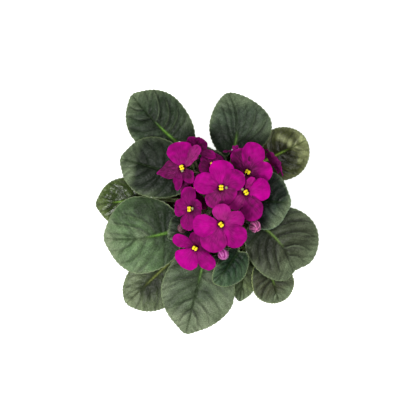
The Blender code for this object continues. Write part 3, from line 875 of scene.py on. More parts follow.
@dataclass(frozen=True)
class StemFinish(Finish):
    """Hairy stalks of reddish green, and greener calyces."""

    green: Colour = (0.10, 0.12, 0.035)
    red: Colour = (0.10, 0.035, 0.03)
    calyx: Colour = (0.045, 0.085, 0.02)
    scar: Colour = (0.12, 0.08, 0.04)
    hair: Colour = (0.42, 0.40, 0.30)
    fleck: Colour = (0.7, 0.7, 0.7)
    scales: Pair = (180.0, 2500.0)
    roughness: float = 0.45
    span: float = 0.25
    depth: float = 0.12
    gloss: float = 0.35
    sheen: float = 0.15
    sheen_tint: Colour = (0.9, 0.85, 0.75)

    def material(self, name: str) -> Material:
        """The stems' material.

        Args:
            name: The material's name.

        Returns:
            The material. It reads the stems' masks.
        """
        make = Recipe(name)
        patches, grain = make.mottle(self)
        colour = make.mix(patches, self.green, self.red)
        colour = make.coats(colour, ("scar", 1.0, self.scar), ("calyx", 1.0, self.calyx))
        fleck = make.ramp(grain, 0.0, 0.5, 0.3, 0.7)
        colour = make.mix(fleck, colour, self.fleck, "MULTIPLY")
        return make.finish(self, make.coats(colour, ("hair", 1.0, self.hair)), grain)


@dataclass(frozen=True)
class SoilFinish(Finish):
    """Dark peat with lighter crumbs and white perlite."""

    peat: Colour = (0.022, 0.013, 0.008)
    crumb: Colour = (0.075, 0.045, 0.025)
    perlite: Colour = (0.62, 0.60, 0.55)
    moss: Colour = (0.045, 0.075, 0.015)
    scales: Pair = (260.0, 1500.0)
    roughness: float = 0.75
    span: float = 0.25
    depth: float = 0.5
    gloss: float = 0.2

    def material(self, name: str) -> Material:
        """The soil's material.

        Args:
            name: The material's name.

        Returns:
            The material. It reads the soil's masks.
        """
        make = Recipe(name)
        patches, grain = make.mottle(self)
        colour = make.coats(
            make.mix(make.times(patches, grain), self.peat, self.crumb),
            ("moss", 1.0, self.moss),
            ("crumb", 1.0, make.mix(grain, self.peat, self.crumb)),
            ("perlite", 1.0, self.perlite),
        )
        return make.finish(self, colour, grain)


@dataclass(frozen=True)
class PlasticFinish(Finish):
    """Moulded dark green plastic with rubbed edges, dust and soil smears."""

    body: Colour = (0.014, 0.032, 0.018)
    worn: Colour = (0.045, 0.075, 0.050)
    dirt: Colour = (0.075, 0.058, 0.040)
    scales: Pair = (40.0, 3500.0)
    smear_scale: float = 22.0
    roughness: float = 0.42
    span: float = 0.16
    depth: float = 0.06
    gloss: float = 0.45

    def material(self, name: str) -> Material:
        """The pot's material; dirt dulls it.

        Args:
            name: The material's name.

        Returns:
            The material. It reads the pot's masks.
        """
        make = Recipe(name)
        patches, grain = make.mottle(self)
        colour = make.mix(make.ramp(patches, 0.0, 0.15), self.body, self.worn)
        colour = make.coats(colour, ("edge", 0.55, self.worn))
        smears = make.ramp(make.noise(make.spot(), self.smear_scale, 5.0), 0.0, 1.0, 0.45, 0.7)
        dirt = make.times(make.mask("dirt"), smears)
        colour = make.mix(dirt, colour, self.dirt)
        return make.finish(self, colour, grain, duller=make.times(dirt, 0.3))


# Pot, soil and crown


@dataclass(frozen=True)
class Pot:
    """The tapered nursery pot with its collar and drain holes."""

    height: float = 78.0
    rim_radius: float = 45.0
    foot_radius: float = 32.0
    wall: float = 1.6
    floor: float = 2.0
    collar_height: float = 15.0
    collar_step: float = 1.6
    collar_taper: float = 1.0
    collar_groove: float = 0.2
    rounding: float = 1.2
    drain_radius: float = 3.5
    drain_circle: float = 21.0
    drain_holes: int = 5
    drain_columns: int = 40
    columns: int = 144
    sharp_angle: float = 50.0
    rub_widths: Triple = (1.0, 0.9, 0.8)
    splash_heights: Pair = (9.0, 3.0)
    floor_cone: float = 10.0
    finish: PlasticFinish = PlasticFinish()

    @property
    def collar_foot(self) -> float:
        """Height of the collar's lower edge."""
        return self.height - self.collar_height

    @property
    def body_top(self) -> float:
        """The body's outer radius under the collar."""
        return self.rim_radius - self.collar_taper - self.collar_step

    def inner_radius(self, height: float) -> float:
        """The inner radius: one straight taper inside body and collar."""
        foot = self.foot_radius - self.wall
        return foot + (self.body_top - self.wall - foot) * height / self.collar_foot

    def arc(self, radius: float, height: float, start: float, end: float) -> list[Pair]:
        """Radius and height of points on a small rounding, between angles in degrees."""
        r, turns = self.rounding / 2, np.radians(np.linspace(start, end, 6))
        return [(radius + r * math.cos(t), height + r * math.sin(t)) for t in turns]

    def profile(self) -> Array:
        """The shell's outline from the middle of its foot, round the rim, to its floor.

        Returns:
            Radius and height of each point.
        """
        r = self.rounding / 2
        neck, foot = self.body_top, self.collar_foot
        inside = self.floor + self.rounding
        corners = [
            (0.0, 0.0),
            *self.arc(self.foot_radius - r, r, -90, 0),
            (neck, foot - self.collar_groove),
            (neck + self.collar_groove, foot),
            *self.arc(self.rim_radius - self.collar_taper - r, foot + r, -90, 0),
            *self.arc(self.rim_radius - r, self.height - r, 0, 90),
            *self.arc(self.inner_radius(self.height) + r, self.height - r, 90, 180),
            (self.inner_radius(inside), inside),
            (self.inner_radius(self.floor) - self.rounding, self.floor),
            (0.0, self.floor),
        ]
        return resample(corners, 2.0)

    def build(self) -> Object:
        """Turns the shell, with its rubbed edges and dirt, and cuts its drain holes.

        The walls are told from the floor by a cone that stays just inside them.

        Returns:
            The pot.
        """
        rings = revolve(self.profile(), self.columns)
        radius, height = np.hypot(rings[..., 0], rings[..., 1]), rings[..., 2]
        cone = self.inner_radius(0) + height / self.collar_foot * self.floor_cone
        walls = radius > cone
        edges = zip((self.height, self.collar_foot, 0.0), self.rub_widths)
        rubbed = sum(bell(height - edge, width) for edge, width in edges)
        low, high = self.splash_heights
        splash = 0.15 + 0.85 * bell(height, low) + 0.5 * bell(height - self.collar_foot, high)
        piece = Piece("pot_shell")
        masks = {"edge": rubbed * walls, "dirt": np.where(walls, splash, 0.9)}
        piece.add_form(Form(rings, masks))
        pot = piece.build(self.finish.material("moulded plastic"), "pot_plastic", "pot")
        self.drill(pot)
        pot.data.set_sharp_from_angle(angle=math.radians(self.sharp_angle))
        return pot

    def drill(self, pot: Object) -> None:
        """Cuts the drain holes through the floor.

        Args:
            pot: The turned shell.
        """
        drills = Piece("drills")
        radius, end = self.drain_radius, 4 * self.floor
        profile = [(0.0, -end), (radius, -end), (radius, end), (0.0, end)]
        for number in range(self.drain_holes):
            spot = direction(360 * (number + 0.5) / self.drain_holes, 90) * self.drain_circle
            drills.add_form(Form(revolve(profile, self.drain_columns) + spot))
        cutter = drills.shape(flat=True)
        cut = pot.modifiers.new("drain holes", "BOOLEAN")
        cut.operation = "DIFFERENCE"
        cut.object = cutter
        bpy.context.view_layer.update()
        graph = bpy.context.evaluated_depsgraph_get()
        drilled = bpy.data.meshes.new_from_object(pot.evaluated_get(graph))
        pot.modifiers.clear()
        pot.data = drilled
        bpy.data.objects.remove(cutter)


def icosahedron() -> tuple[Array, Array]:
    """Corners and outward faces of an icosahedron.

    The corners are (0, +-1, +-golden mean) with its axes swapped round, at length 1. Three
    that lie an edge apart from each other are a face.

    Returns:
        Twelve corners and twenty faces, one row each.
    """
    golden = (1 + math.sqrt(5)) / 2
    corners = np.array([(0, a, b * golden) for a in (-1, 1) for b in (-1, 1)], dtype=float)
    corners = unit(np.concatenate((corners, corners[:, [1, 2, 0]], corners[:, [2, 0, 1]])))
    trios = np.array(list(combinations(range(len(corners)), 3)))
    sides = np.linalg.norm(corners[trios] - corners[np.roll(trios, 1, axis=1)], axis=-1)
    faces = trios[(sides < 1.1).all(axis=1)]
    first, second, third = np.moveaxis(corners[faces], 1, 0)
    outward = np.einsum("ij,ij->i", first, np.cross(second, third))
    faces[outward < 0] = faces[outward < 0][:, ::-1]
    return corners, faces


@dataclass(frozen=True)
class Soil:
    """The root ball: peat with crumbs, perlite and a little moss."""

    pot: Pot
    edge_height: float = 66.0
    mound: float = 3.5
    gap: float = 0.3
    crown_radius: float = 8.0
    crown_foot: float = 48.0
    columns: int = 160
    lump_heights: Triple = (0.7, 0.4, 0.25)
    lump_sizes: Triple = (12.0, 5.0, 2.2)
    moss_size: float = 16.0
    crumbs: int = 900
    crumb_sizes: Pair = (0.4, 1.3)
    perlite: int = 130
    perlite_sizes: Pair = (0.5, 1.2)
    strewn_margin: float = 1.5
    finish: SoilFinish = SoilFinish()

    @property
    def hole(self) -> float:
        """Radius of the hole for the crown."""
        return self.crown_radius + self.gap

    @property
    def edge(self) -> float:
        """Radius of the soil's top."""
        return self.pot.inner_radius(self.edge_height) - self.gap

    def surface(self, radius: Array) -> Array:
        """Height of the smooth top: it mounds towards the crown by a cosine to the 1.5."""
        share = limit((radius - self.hole) / (self.edge - self.hole))
        return self.edge_height + self.mound * np.cos(share * math.pi / 2) ** 1.5

    def profile(self) -> Array:
        """The outline from the crown's hole over the top and down to the bottom.

        Returns:
            Radius and height of each point.
        """
        low = self.pot.floor + self.gap
        side = low + self.pot.rounding
        foot = self.crown_foot - self.gap
        tops = np.linspace(self.hole, self.edge, 26)
        corners = [
            (0.0, foot),
            (self.hole, foot),
            *zip(tops, self.surface(tops)),
            (self.pot.inner_radius(side) - self.gap, side),
            (self.pot.inner_radius(low) - self.pot.rounding - 2 * self.gap, low),
            (0.0, low),
        ]
        return resample(corners, 4.0)

    def lumps(self, x: Array, y: Array) -> Array:
        """The uneven top: three sizes of swell, up to about 1.3 mm."""
        kinds = enumerate(zip(self.lump_heights, self.lump_sizes), start=3)
        return sum(height * swell(x, y, size, seed) for seed, (height, size) in kinds)

    def scatter(self, piece: Piece, count: int, sizes: Pair, **mask: float) -> None:
        """Strews the top with angular grains: stretched and turned icosahedra.

        Args:
            piece: Where the grains go.
            count: Number of grains.
            sizes: Least and greatest radius.
            mask: The grains' own mask.
        """
        dice = np.random.default_rng(count)
        least, most = self.hole + self.strewn_margin, self.edge - self.strewn_margin
        radius = np.sqrt(dice.uniform(least**2, most**2, count))
        angle = dice.uniform(0.0, 2 * math.pi, count)
        x, y = radius * np.cos(angle), radius * np.sin(angle)
        z = self.surface(radius) + self.lumps(x, y)
        grain = dice.uniform(*sizes, count)
        corners, order = icosahedron()
        turns = np.linalg.qr(dice.normal(size=(count, 3, 3)))[0]
        turns *= np.sign(np.linalg.det(turns))[:, None, None]
        stretch = dice.uniform(0.6, 1.3, (count, 1, 3)) * dice.uniform(0.8, 1.15, (count, 12, 1))
        shapes = (corners * stretch) @ turns * grain[:, None, None]
        centres = np.stack((x, y, z - 0.1 * grain), axis=1)[:, None]
        numbers = order + len(corners) * np.arange(count)[:, None, None]
        piece.add((shapes + centres).reshape(-1, 3), numbers.reshape(-1, 3), **mask)

    def build(self) -> Object:
        """Makes the root ball with its loose grains.

        Returns:
            The soil.
        """
        rings = revolve(self.profile(), self.columns)
        x, y, z = np.moveaxis(rings, -1, 0)
        radius = np.hypot(x, y)
        inside = limit((radius - self.hole - self.gap) / 2) * limit((self.edge - radius) / 2)
        top = inside * (z > self.edge_height - 0.5)
        rings[..., 2] += top * self.lumps(x, y)
        moss = limit(2.5 * swell(x, y, self.moss_size, 9) - 1.0) * top
        piece = Piece("soil_bed")
        piece.add_form(Form(rings, {"moss": moss}))
        self.scatter(piece, self.crumbs, self.crumb_sizes, crumb=1.0)
        self.scatter(piece, self.perlite, self.perlite_sizes, perlite=1.0)
        return piece.build(self.finish.material("peat"), "soil", "soil")


@dataclass(frozen=True)
class Crown:
    """The short stem that carries the petioles and the flower stalks."""

    radius: float = 8.0
    foot: float = 48.0
    shoulder: float = 84.0
    top: float = 88.0
    foot_taper: Pair = (3.0, 4.0)
    top_roundings: tuple[Pair, Pair] = ((0.6, 1.6), (2.4, 0.2))
    scar_height: float = 0.25
    roughness: float = 0.15
    columns: int = 72
    finish: StemFinish = StemFinish(green=(0.11, 0.12, 0.04), red=(0.07, 0.05, 0.025))

    def build(self) -> Object:
        """Turns the stem, with the scars of old leaves round it in a rising spiral.

        The scars rise by sin(3 a + 0.9 z) sin(0.75 z + a) at the azimuth a and height z.

        Returns:
            The crown.
        """
        inset, rise = self.foot_taper
        corners = [
            (0.0, self.foot),
            (self.radius - inset, self.foot),
            (self.radius, self.foot + rise),
            (self.radius, self.shoulder),
            *((self.radius - inward, self.top - down) for inward, down in self.top_roundings),
            (0.0, self.top),
        ]
        rings = revolve(resample(corners, 0.9), self.columns)
        x, y, z = np.moveaxis(rings, -1, 0)
        angle = np.arctan2(y, x)
        spiral = np.sin(3 * angle + z * 0.9) * np.sin(z * 0.75 + angle)
        rough = self.scar_height * spiral + self.roughness * swell(8 * angle, z, 3.0, 7)
        side = bell((z - (self.foot + self.shoulder) / 2) / (self.shoulder - self.foot), 0.6)
        rings[..., :2] *= 1 + ((rough - 0.2) * side / self.radius)[..., None]
        piece = Piece("crown_stem")
        piece.add_form(Form(rings, {"scar": limit(spiral) * 0.8}))
        return piece.build(self.finish.material("crown bark"), "crown", "crown")


# Leaves

# Start and end of each usual side vein along the leaf, and its reach across, in per cent.
SIDE_VEINS = (
    (2, -8, 70), (10, 24, 92), (23, 48, 90), (37, 68, 76), (52, 84, 55), (68, 95, 30),
)


@dataclass(frozen=True)
class Veining:
    """How wide the midrib, the side veins and the bands of painted highlight beside them are, and
    what swells between.
    """

    rib_width: float = 1.10
    rib_taper: float = 0.75
    vein_width: float = 1.0
    vein_taper: float = 0.4
    crest_away: float = 1.1
    crest_width: float = 0.5
    swelling_width: float = 3.4
    handle: Pair = (0.14, 0.75)
    stations: int = 13
    jitter: float = 0.02
    depths: Pair = (0.25, 0.85)


@dataclass(frozen=True)
class Leaf:
    """One leaf: a heart-shaped blade on a petiole that rises from the crown.

    base and apex are the ends of the midrib, left and right the half widths, and root the azimuth
    and height at which the petiole leaves the crown. In per cent, a patch of painted light is its
    place along and across the leaf, its size and its gain, painted sheen where the gain is above 0
    and painted shade where it is below; a vein is its start and end along, its reach across and its
    depth.
    """

    name: str
    base: Triple
    apex: Triple
    left: float
    right: float
    root: Pair
    lobe: float = 9.0
    taper: float = 0.1
    arch: float = 4.0
    edge: float = 3.0
    fold: float = 2.0
    roll: float = 0.0
    wave: float = 1.0
    phase: float = 0.0
    point: float = 2.5
    finish: LeafFinish = LeafFinish()
    thickness: float = 0.8
    crown_radius: float = 8.0
    gap: float = 0.3
    stem_radii: Triple = (1.9, 1.4, 0.5)
    rib_share: float = 0.62
    rib_stations: int = 14
    middle_share: float = 0.46
    side_fullness: float = 0.92
    sinus_width: float = 0.24
    point_width: float = 0.26
    teeth: int = 46
    tooth_depth: float = 0.55
    relief: float = 1.1
    # How far along the leaf the darker base reaches: partly its own tint, partly painted shade.
    heel_reach: float = 0.12
    rim_width: float = 0.6
    # Patches of painted sheen and painted shade, in per cent.
    painted_sheen_and_shade: tuple[Four, ...] = ()
    # Painted sheen toward the tip, and toward the margin below.
    tip_painted_sheen: float = 0.75
    edge_painted_sheen: float = 0.35
    bow: float = 0.0
    veins: tuple[Four, ...] = ()
    veining: Veining = Veining()
    columns: int = 300
    top_rings: int = 40
    back_rings: int = 9
    blade_hairs: int = 900
    blade_hair_lengths: Pair = (0.6, 1.3)
    stem_hairs: int = 220
    stem_hair_length: float = 1.3

    @property
    def length(self) -> float:
        """The blade's length from the petiole to the tip."""
        return float(np.linalg.norm(np.subtract(self.apex, self.base)))

    @property
    def middle(self) -> float:
        """Where the blade is widest, from the petiole."""
        return self.middle_share * self.length

    @property
    def seed(self) -> int:
        """The number that fixes the leaf's random draws."""
        return sum(map(ord, self.name))

    def own_frame(self) -> Frame:
        """The leaf's own frame: origin at the base, X to the tip, Y to the left.

        Returns:
            The frame, turned about X by the roll.
        """
        ahead = unit(np.subtract(self.apex, self.base))
        left = unit(np.cross(UP, ahead))
        up = np.cross(ahead, left)
        c, s = math.cos(math.radians(self.roll)), math.sin(math.radians(self.roll))
        axes = np.array((ahead, c * left + s * up, c * up - s * left))
        return Frame(np.array(self.base, dtype=float), axes)

    def outline(self) -> Array:
        """The scalloped margin in the plan, from the tip round to the left.

        Half ellipses before and behind the middle, the front one tapered; lobes that reach
        back past the petiole, with a notch between them; a tip that stands out or in; and
        rounded teeth |sin(n a / 2)|^0.7, which fade out in the notch.

        Returns:
            The plan points, one row each.
        """
        angle = circle(self.columns)
        angle = np.where(angle > math.pi, angle - 2 * math.pi, angle)
        notch = math.pi - np.abs(angle)
        c, s = np.cos(angle), np.sin(angle)
        front = self.length - self.point - self.middle
        back = self.middle + self.lobe
        width = np.where(s > 0, self.left, self.right) * (1 - self.taper * limit(c) ** 1.5)
        x = self.middle + np.where(c > 0, front, back) * c
        y = width * np.sign(s) * np.abs(s) ** self.side_fullness
        x += self.lobe * bell(notch, self.sinus_width)
        x += self.point * bell(angle, self.point_width)
        teeth = np.abs(np.sin(self.teeth * angle / 2)) ** 0.7 - 0.6
        teeth *= self.tooth_depth * (1 - bell(notch, 0.35))
        return np.stack((x + teeth * c, y + teeth * s), axis=1)

    def rise(self, x: Array, y: Array) -> Array:
        """The blade's height in its frame, before its veins.

        The midrib arches, each half folds up from it, and the margin turns down and waves.

        Args:
            x: Distance from the base along the midrib.
            y: Distance from the midrib.

        Returns:
            The height at each place.
        """
        along = x / self.length
        across = np.abs(y) / np.where(y > 0, self.left, self.right)
        arch = self.arch * np.where(along > 0, 4 * along * (1 - along), 2.2 * along)
        fold = self.fold * (1 - np.exp(-2.2 * across))
        angle = np.arctan2(y, x - self.middle)
        wave = self.wave * across**2 * np.sin(5 * angle + self.phase)
        return arch + fold - self.edge * across**2.4 + wave

    def midline(self, x: Array) -> Array:
        """How far the midrib bows to the left: bow . 4 s (1 - s) at the share s of the length."""
        share = limit(x / self.length)
        return self.bow * 4 * share * (1 - share)

    def vein_paths(self) -> list[tuple[Array, float]]:
        """The side veins: each leaves the midrib steeply and sweeps forward to the margin.

        A vein is a quadratic curve from (s L, 0) to (e L, a w), with its handle a seventh of
        the way along and three quarters of the way across. A side with no veins of its own
        has the usual ones, moved a little by seeded numbers.

        Returns:
            Points in the plan and the depth of each vein.
        """
        dice = np.random.default_rng(self.seed + 11)
        t = np.linspace(0.0, 1.0, self.veining.stations)[:, None]
        paths = []
        for side, width in ((-1, self.right), (1, self.left)):
            given = [np.array(vein) / 100 for vein in self.veins if vein[2] * side > 0]
            moved = np.array(SIDE_VEINS) / 100
            moved += dice.normal(0.0, self.veining.jitter, moved.shape)
            depths = dice.uniform(*self.veining.depths, len(moved))
            usual = np.column_stack((moved * (1, 1, side), depths))
            for start, end, across, depth in given or usual:
                foot = np.array((start * self.length, 0.0))
                tip = np.array((end * self.length, across * width))
                handle = foot + (tip - foot) * self.veining.handle
                curve = (1 - t) ** 2 * foot + 2 * t * (1 - t) * handle + t**2 * tip
                curve[:, 1] += self.midline(curve[:, 0])
                paths.append((curve, depth))
        return paths

    def relief_masks(self, x: Array, y: Array) -> tuple[Array, Array, Array, Array]:
        """Where the midrib, the side veins and the swellings between them lie.

        A vein's line is bell(distance, 1.0 - 0.4 t) at the share t of its length, a band of painted
        highlight lies 1.1 mm away on the side of the tip, and the swelling is 1 - exp(-(distance to
        the nearest vein / 3.4)^2).

        Args:
            x: Distance from the base along the leaf.
            y: Distance to the left.

        Returns:
            Closeness to the midrib, to a side vein and to the band of painted highlight, and the
            swelling, 0 to 1.
        """
        sizes = self.veining
        off = np.abs(y - self.midline(x))
        ahead = limit(x / self.length)
        rib = bell(off, sizes.rib_width - sizes.rib_taper * ahead) * (x > -1.0)
        line, crest = np.zeros_like(x), np.zeros_like(x)
        nearest = off + 2.0 * ahead
        place = np.stack((x, y), axis=-1)
        for curve, depth in self.vein_paths():
            step = np.diff(curve, axis=0)
            gap = place[..., None, :] - curve[:-1]
            share = limit((gap * step).sum(-1) / (step**2).sum(-1))
            distance = np.linalg.norm(gap - share[..., None] * step, axis=-1)
            turned = step[:, 0] * gap[..., 1] - step[:, 1] * gap[..., 0]
            best = distance.argmin(axis=-1)[..., None]
            away, part, beside = (
                np.take_along_axis(values, best, -1)[..., 0] for values in (distance, share, turned)
            )
            t = (best[..., 0] + part) / len(step)
            fade = 1 - 0.5 * t
            # A band of painted highlight beside the vein, on the side of the tip.
            before = -np.sign(beside * curve[-1, 1]) * away
            highlight_band = bell(before - sizes.crest_away, sizes.crest_width) * depth**2 * fade
            crest = np.maximum(crest, highlight_band * limit(8 * t))
            width = sizes.vein_width - sizes.vein_taper * t
            line = np.maximum(line, depth * bell(away, width) * fade)
            nearest = np.minimum(nearest, away + 2.5 * (1 - depth) + t)
        return rib, line * (1 - rib), crest * (1 - rib), 1 - bell(nearest, sizes.swelling_width)

    def tone(self, x: Array, y: Array) -> Array:
        """Painted light on the blade: painted sheen above 0, painted shade below it.

        The painted sheen rises from five eighths of the way to the tip, and each of the leaf's
        patches adds gain . bell(distance, size . L) round its place.

        Args:
            x: Distance from the base along the leaf.
            y: Distance to the left.

        Returns:
            The painted light, -1 to 1.
        """
        total = self.tip_painted_sheen * limit((x / self.length - 0.62) / 0.38)
        for ahead, across, size, gain in np.array(self.painted_sheen_and_shade) / 100:
            side = across * (self.left if across > 0 else self.right)
            distance = np.hypot(x - ahead * self.length, y - side)
            total = total + gain * bell(distance, size * self.length)
        return np.clip(total, -1, 1)

    def blade(self) -> Form:
        """The blade: top, back and margin in one closed form, with sunken veins.

        Returns:
            The form with the masks of its finish.
        """
        outline = self.outline()
        plan = Sheet.spread(outline, self.middle, self.thickness, self.top_rings, self.back_rings)
        x, y, top = plan.x, plan.y, 1 - plan.under
        rib, line, crest, quilt = self.relief_masks(x, y)
        seed = len(self.name) + int(self.root[0])
        uneven = 0.35 * swell(x, y, 13.0, seed) + 0.10 * swell(x, y, 5.0, seed + 1)
        puffs = quilt - 0.5 * line - 0.6 * rib - 0.3 + uneven
        sunken = np.where(plan.under > 0, 0.3 * quilt - 1.1, puffs)
        height = self.rise(x, y) + self.relief * (1 - plan.share**12) * sunken
        reach = np.hypot(outline[:, 0] - self.middle, outline[:, 1])
        ahead = x / self.length
        glow = rib * np.clip((self.finish.midrib_reach - ahead) / 0.2 + 0.5, 0.06, 1)
        # Painted light: painted sheen toward the tip and margin, and patches of painted sheen and
        # painted shade.
        tone = self.tone(x, y) + self.edge_painted_sheen * limit((plan.share - 0.8) / 0.2)
        off = np.abs(y - self.midline(x))
        masks = {
            "midrib": glow * top,
            # Painted shade in the grooves of the side veins and of the midrib past its bright part.
            "vein": np.maximum(line, 0.7 * rib * (1 - glow)) * top,
            "quilt": quilt * top,
            # Painted highlight beside the veins, weaker where painted shade lies.
            "crest": crest * (1 - 0.8 * limit(-tone)) * top,
            # Painted sheen.
            "pale": limit(tone) * top,
            # Painted shade.
            "dim": limit(-tone) * top,
            # Darker base by the petiole: partly the leaf's own tint, partly painted shade.
            "heel": limit((self.heel_reach - ahead) / 0.25 + 0.5) * top,
            "rim": bell((1 - plan.share) * reach, self.rim_width),
            "under": plan.under,
            "plan": np.stack((x - 0.8 * off, off, np.sign(y)), axis=-1),
        }
        return Form(self.own_frame().place(plan.lifted(height)), masks)

    def stalk_path(self) -> tuple[Array, Array]:
        """The petiole from the crown to the blade, then on as the rib under it.

        Returns:
            The stations and the radius at each.
        """
        own = self.own_frame()
        start, joint, end = self.stem_radii
        azimuth, height = self.root
        outward = direction(azimuth, 90)
        root = outward * (self.crown_radius + self.gap + start / 3) + UP * height
        x = np.linspace(0.0, self.length * self.rib_share, self.rib_stations)
        radii = np.linspace(joint, end, self.rib_stations)
        sunk = self.rise(x, 0 * x) - radii - self.relief
        rib = own.place(np.stack((x, 0 * x, sunk), axis=1))
        arrive = own.axes[0] + unit(rib[0] - root)
        route = bezier(root, outward + UP * 0.35, rib[0], arrive, STALK_STATIONS)
        stalk_radii = np.linspace(start, joint, STALK_STATIONS)
        return np.concatenate((route, rib[1:])), np.concatenate((stalk_radii, radii[1:]))

    def add_blade_fur(self, piece: Piece, form: Form, dice: Dice) -> None:
        """Adds short hairs to the blade's top and margin.

        Most stand near the margin. Those on it point outwards.

        Args:
            piece: Where the hairs go.
            form: The blade.
            dice: Seeded random numbers.
        """
        rings = form.rings[: self.top_rings]
        around = np.roll(rings, -1, axis=1) - np.roll(rings, 1, axis=1)
        normals = unit(np.cross(around, np.gradient(rings, axis=0)) + 1e-9)
        normals *= np.sign(normals @ self.own_frame().axes[2])[..., None]
        weight = np.linspace(0.02, 1.0, self.top_rings) ** 1.6
        weight[-1] *= 4
        row = dice.choice(self.top_rings, self.blade_hairs, p=weight / weight.sum())
        row = np.maximum(row, 1)
        column = dice.integers(0, self.columns, self.blade_hairs)
        roots = rings[row, column]
        outward = unit(roots - rings[0, 0]) * (row == self.top_rings - 1)[:, None] * 1.5
        lean = dice.normal(0.0, 0.35, (self.blade_hairs, 3))
        aims = unit(normals[row, column] + lean + outward)
        lengths = dice.uniform(*self.blade_hair_lengths, self.blade_hairs)
        piece.add_hairs(roots - 0.05 * aims, aims, lengths)

    def build(self) -> Object:
        """Gathers blade, petiole and hairs.

        Returns:
            The finished leaf.
        """
        dice = np.random.default_rng(self.seed)
        piece = Piece(self.name + "_blade")
        blade = self.blade()
        piece.add_form(blade)
        path, radii = self.stalk_path()
        piece.add_tube(path, radii, stem=1.0)
        self.add_blade_fur(piece, blade, dice)
        petiole = slice(STALK_STATIONS)
        piece.add_fur(path[petiole], radii[petiole], self.stem_hairs, self.stem_hair_length, dice)
        return piece.build(self.finish.material(self.name + " skin"), "leaf", self.name)


